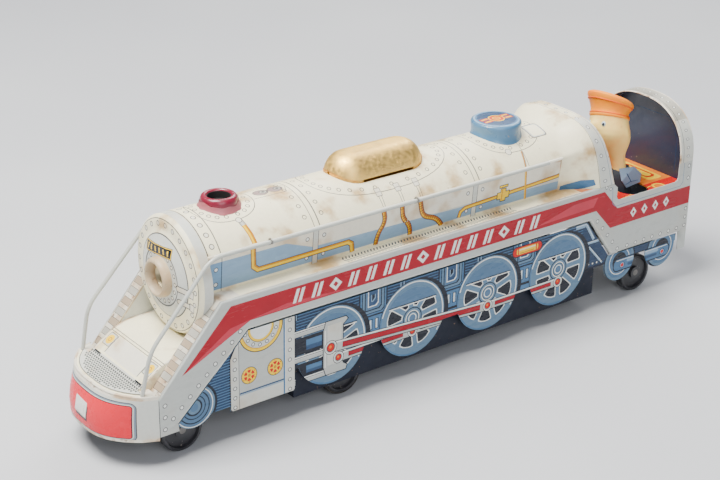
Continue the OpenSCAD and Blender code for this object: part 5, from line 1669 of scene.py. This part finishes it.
def driver_coat(cloth, dark):
    """A folded tin jacket: a leaning block, a standing collar and two lapels."""
    x0, y0, z0 = HEAD_BASE.x, HEAD_BASE.y, low("driver_jacket").z
    shape = [(0, 0.0, 8.4, 7.6), (8, -0.3, 8.6, 7.6), (14, -0.6, 8.4, 7.4), (17.5, -0.8, 7.4, 6.8),
             (20.4, -1.0, 5.4, 5.4)]
    octagon = [(1, 0.3), (0.35, 1), (-0.35, 1), (-1, 0.3), (-1, -0.3), (-0.35, -1), (0.35, -1),
               (1, -0.3)]
    rings = [[(x0 + dx + cx * a, y0 + cy * b, z0 + h) for cx, cy in octagon]
             for h, dx, a, b in shape]
    loft("driver_coat", rings, dark, "driver", replaces="driver_jacket", slot="jacket")
    top = z0 + 20.6
    for side, name in ((1, "left"), (-1, "right")):
        y = y0 + side * 5.4
        flap = [(x0 + 4.6, y0 + side * 4.0, top + 0.6), (x0 - 6.4, y + side * 0.6, top + 0.2),
                (x0 - 12.2, y + side * 1.4, top - 5.2), (x0 - 10.6, y + side * 2.4, top - 10.2),
                (x0 + 1.4, y + side * 2.6, top - 11.3), (x0 + 5.6, y + side * 2.2, top - 6.0)]
        lift = [(x, y1 + side * 0.6, z) for x, y1, z in flap]
        loft(f"driver_lapel_{name}", [flap, lift], cloth, "driver", slot="jacket")
        fold = [(x0 - 8.8, y + side * 2.6, top - 8.6), (x0 - 2.0, y + side * 2.9, top - 8.0),
                (x0 + 2.4, y + side * 2.9, top - 9.2)]
        tube(f"driver_fold_{name}", fold, 0.22, MID_BLUE_TIN, "driver", n=6, slot="jacket")
        seam = [(x0 - 2.4, y + side * 3.0, top - 8.0), (x0 + 1.0, y + side * 2.1, top - 2.2)]
        tube(f"driver_seam_{name}", seam, 0.22, MID_BLUE_TIN, "driver", n=6, slot="jacket")


def driver():
    skin = vinyl("vinyl_skin", (1.0, 0.70, 0.22), (1.0, 0.50, 0.12))
    orange = vinyl("vinyl_orange", (1.0, 0.33, 0.002), (1.0, 0.20, 0.001), rough=0.5)
    cloth = tin("jacket_print", (0.21, 0.29, 0.41), foxing=0.3, rough=0.35, wear=0.6)
    dark = enamel("jacket_dark", (0.016, 0.020, 0.030), rough=0.5, coat=0.1, chips=0.3)
    driver_head(skin)
    driver_cap(orange)
    driver_coat(cloth, dark)


def ball(name, centre, radii, mat, body, slot):
    """An egg-shaped solid with its three radii."""
    n = 16
    rings = []
    for i in range(1, n):
        t = math.pi * i / n
        rings.append([tuple(centre + Vector((radii[0] * math.sin(t) * math.cos(a),
                                             radii[1] * math.sin(t) * math.sin(a),
                                             radii[2] * math.cos(t))))
                      for a in (2 * math.pi * k / (2 * n) for k in range(2 * n))])
    return loft(name, rings, mat, body, slot=slot)


# Carried-over CAD parts ----------------------------------------------------------------------
def dress(nodes, mat):
    """Gives carried-over CAD nodes their material."""
    for node in nodes:
        mesh = CAD[node].data
        mesh.materials.clear()
        mesh.materials.append(mat)


def carried_over():
    black = enamel("wheel_black", (0.018, 0.018, 0.022), rough=0.38, coat=0.2, chips=0.8,
                   under=(0.30, 0.27, 0.24), lift=1.8)
    steel = metal("dull_steel", (0.52, 0.51, 0.49), rough=0.36, scale=900, stretch=(0.1, 1, 1))
    plated = metal("plated_steel", (0.62, 0.61, 0.58), rough=0.28, grime=0.3)
    brass = metal("stamped_brass", (0.72, 0.52, 0.22), rough=0.33, grime=0.35, scale=700)
    blued = metal("blued_spring", (0.12, 0.16, 0.24), rough=0.25, grime=0.3)
    rubber = vinyl("aged_rubber", (0.035, 0.032, 0.030), (0.06, 0.052, 0.045), rough=0.8,
                   subsurface=0.0)
    pan = enamel("pan_navy", (0.010, 0.013, 0.024), rough=0.45, coat=0.04, chips=0.5,
                 under=(0.28, 0.18, 0.10), lift=1.6, shine=0.2)
    axle = metal("axle_steel", (0.20, 0.19, 0.18), rough=0.45, grime=0.6)
    wheels = [n for n in CAD if "wheel_left" in n or "wheel_right" in n]
    dress(wheels, black)
    dress([n for n in CAD if "tyre" in n], rubber)
    dress([n for n in CAD if n.endswith("_axle")], axle)
    dress([n for n in CAD if "arbor" in n or n in
           ("motor_pillars", "base_screws", "governor_fly", "stop_lever", "ratchet_wheel",
            "driver_pin")], plated)
    dress(["motor_plate_left", "motor_plate_right", "front_bracket", "rear_bracket",
           "driver_bracket", "driver_arm", "winding_key"], steel)
    dress(["great_wheel", "second_wheel", "second_pinion", "drive_pinion", "governor_pinion",
           "click"], brass)
    dress(["mainspring", "click_spring"], blued)
    dress(["base_pan"], pan)


# Stage -----------------------------------------------------------------------------------------
def camera():
    """The photograph's viewpoint, fitted to points on the object."""
    data = bpy.data.cameras.new("camera")
    data.lens = 81.5
    data.sensor_width = 36
    cam = bpy.data.objects.new("camera", data)
    bpy.context.scene.collection.objects.link(cam)
    yaw, pitch, roll = math.radians(232.49), math.radians(-23.86), math.radians(0.88)
    ahead = Vector((math.cos(yaw) * math.cos(pitch), math.sin(yaw) * math.cos(pitch),
                    math.sin(pitch)))
    right = ahead.cross(Vector((0, 0, 1))).normalized()
    up = right.cross(ahead)
    across = right * math.cos(roll) + up * math.sin(roll)
    over = up * math.cos(roll) - right * math.sin(roll)
    cam.location = Vector((537.2, 661.5, 443.0)) * MM
    matrix = cam.matrix_world.to_3x3()
    for i in range(3):
        matrix[i] = (across[i], over[i], -ahead[i])
    cam.rotation_euler = matrix.to_euler()
    data.clip_start = 0.01
    bpy.context.scene.camera = cam


def lamp(name, place, target, size, power, colour=(1, 1, 1)):
    """A square area light aimed at a target, in metres and watts."""
    data = bpy.data.lights.new(name, "AREA")
    data.energy = power
    data.size = size
    data.color = colour
    light = bpy.data.objects.new(name, data)
    light.location = place
    light.rotation_euler = (Vector(target) - Vector(place)).to_track_quat("-Z", "Y").to_euler()
    bpy.context.scene.collection.objects.link(light)


def stage():
    """A plain pale floor, a soft sky and three area lights."""
    mesh = bpy.data.meshes.new("floor")
    size = 6.0
    mesh.from_pydata([(-size, -size, 0), (size, -size, 0), (size, size, 0), (-size, size, 0)], [],
                     [(0, 1, 2, 3)])
    mat, tree, shader = blank("floor_paper")
    pattern = texture(tree, "ShaderNodeTexNoise", 3, 2)
    base = blend_colour(tree, ramp(tree, pattern, 0.3, 0.7, 1.0), (0.50, 0.51, 0.54),
                        (0.54, 0.55, 0.57))
    tree.links.new(base, shader.inputs["Base Color"])
    shader.inputs["Roughness"].default_value = 0.9
    mesh.materials.append(mat)
    floor = bpy.data.objects.new("floor", mesh)
    bpy.context.scene.collection.objects.link(floor)
    world = bpy.data.worlds.new("studio")
    world.use_nodes = True
    world.node_tree.nodes["Background"].inputs[0].default_value = (0.92, 0.95, 1.0, 1)
    world.node_tree.nodes["Background"].inputs[1].default_value = 0.28
    bpy.context.scene.world = world
    lamp("key", (0.45, -0.10, 1.25), (0, 0, 0.05), 0.7, 49, (1.0, 0.985, 0.94))
    lamp("fill", (0.5, 1.5, 0.8), (0, 0, 0.06), 1.1, 15, (0.95, 0.97, 1.0))
    lamp("back", (-0.9, -0.7, 1.1), (0, 0, 0.06), 0.8, 16)


camera()
stage()
side_panels()
boiler()
smokebox()
chimney()
domes()
handrails()
cab_front()
cab_arch()
cab_rear()
cab_floor()
pilot()
driver()
carried_over()
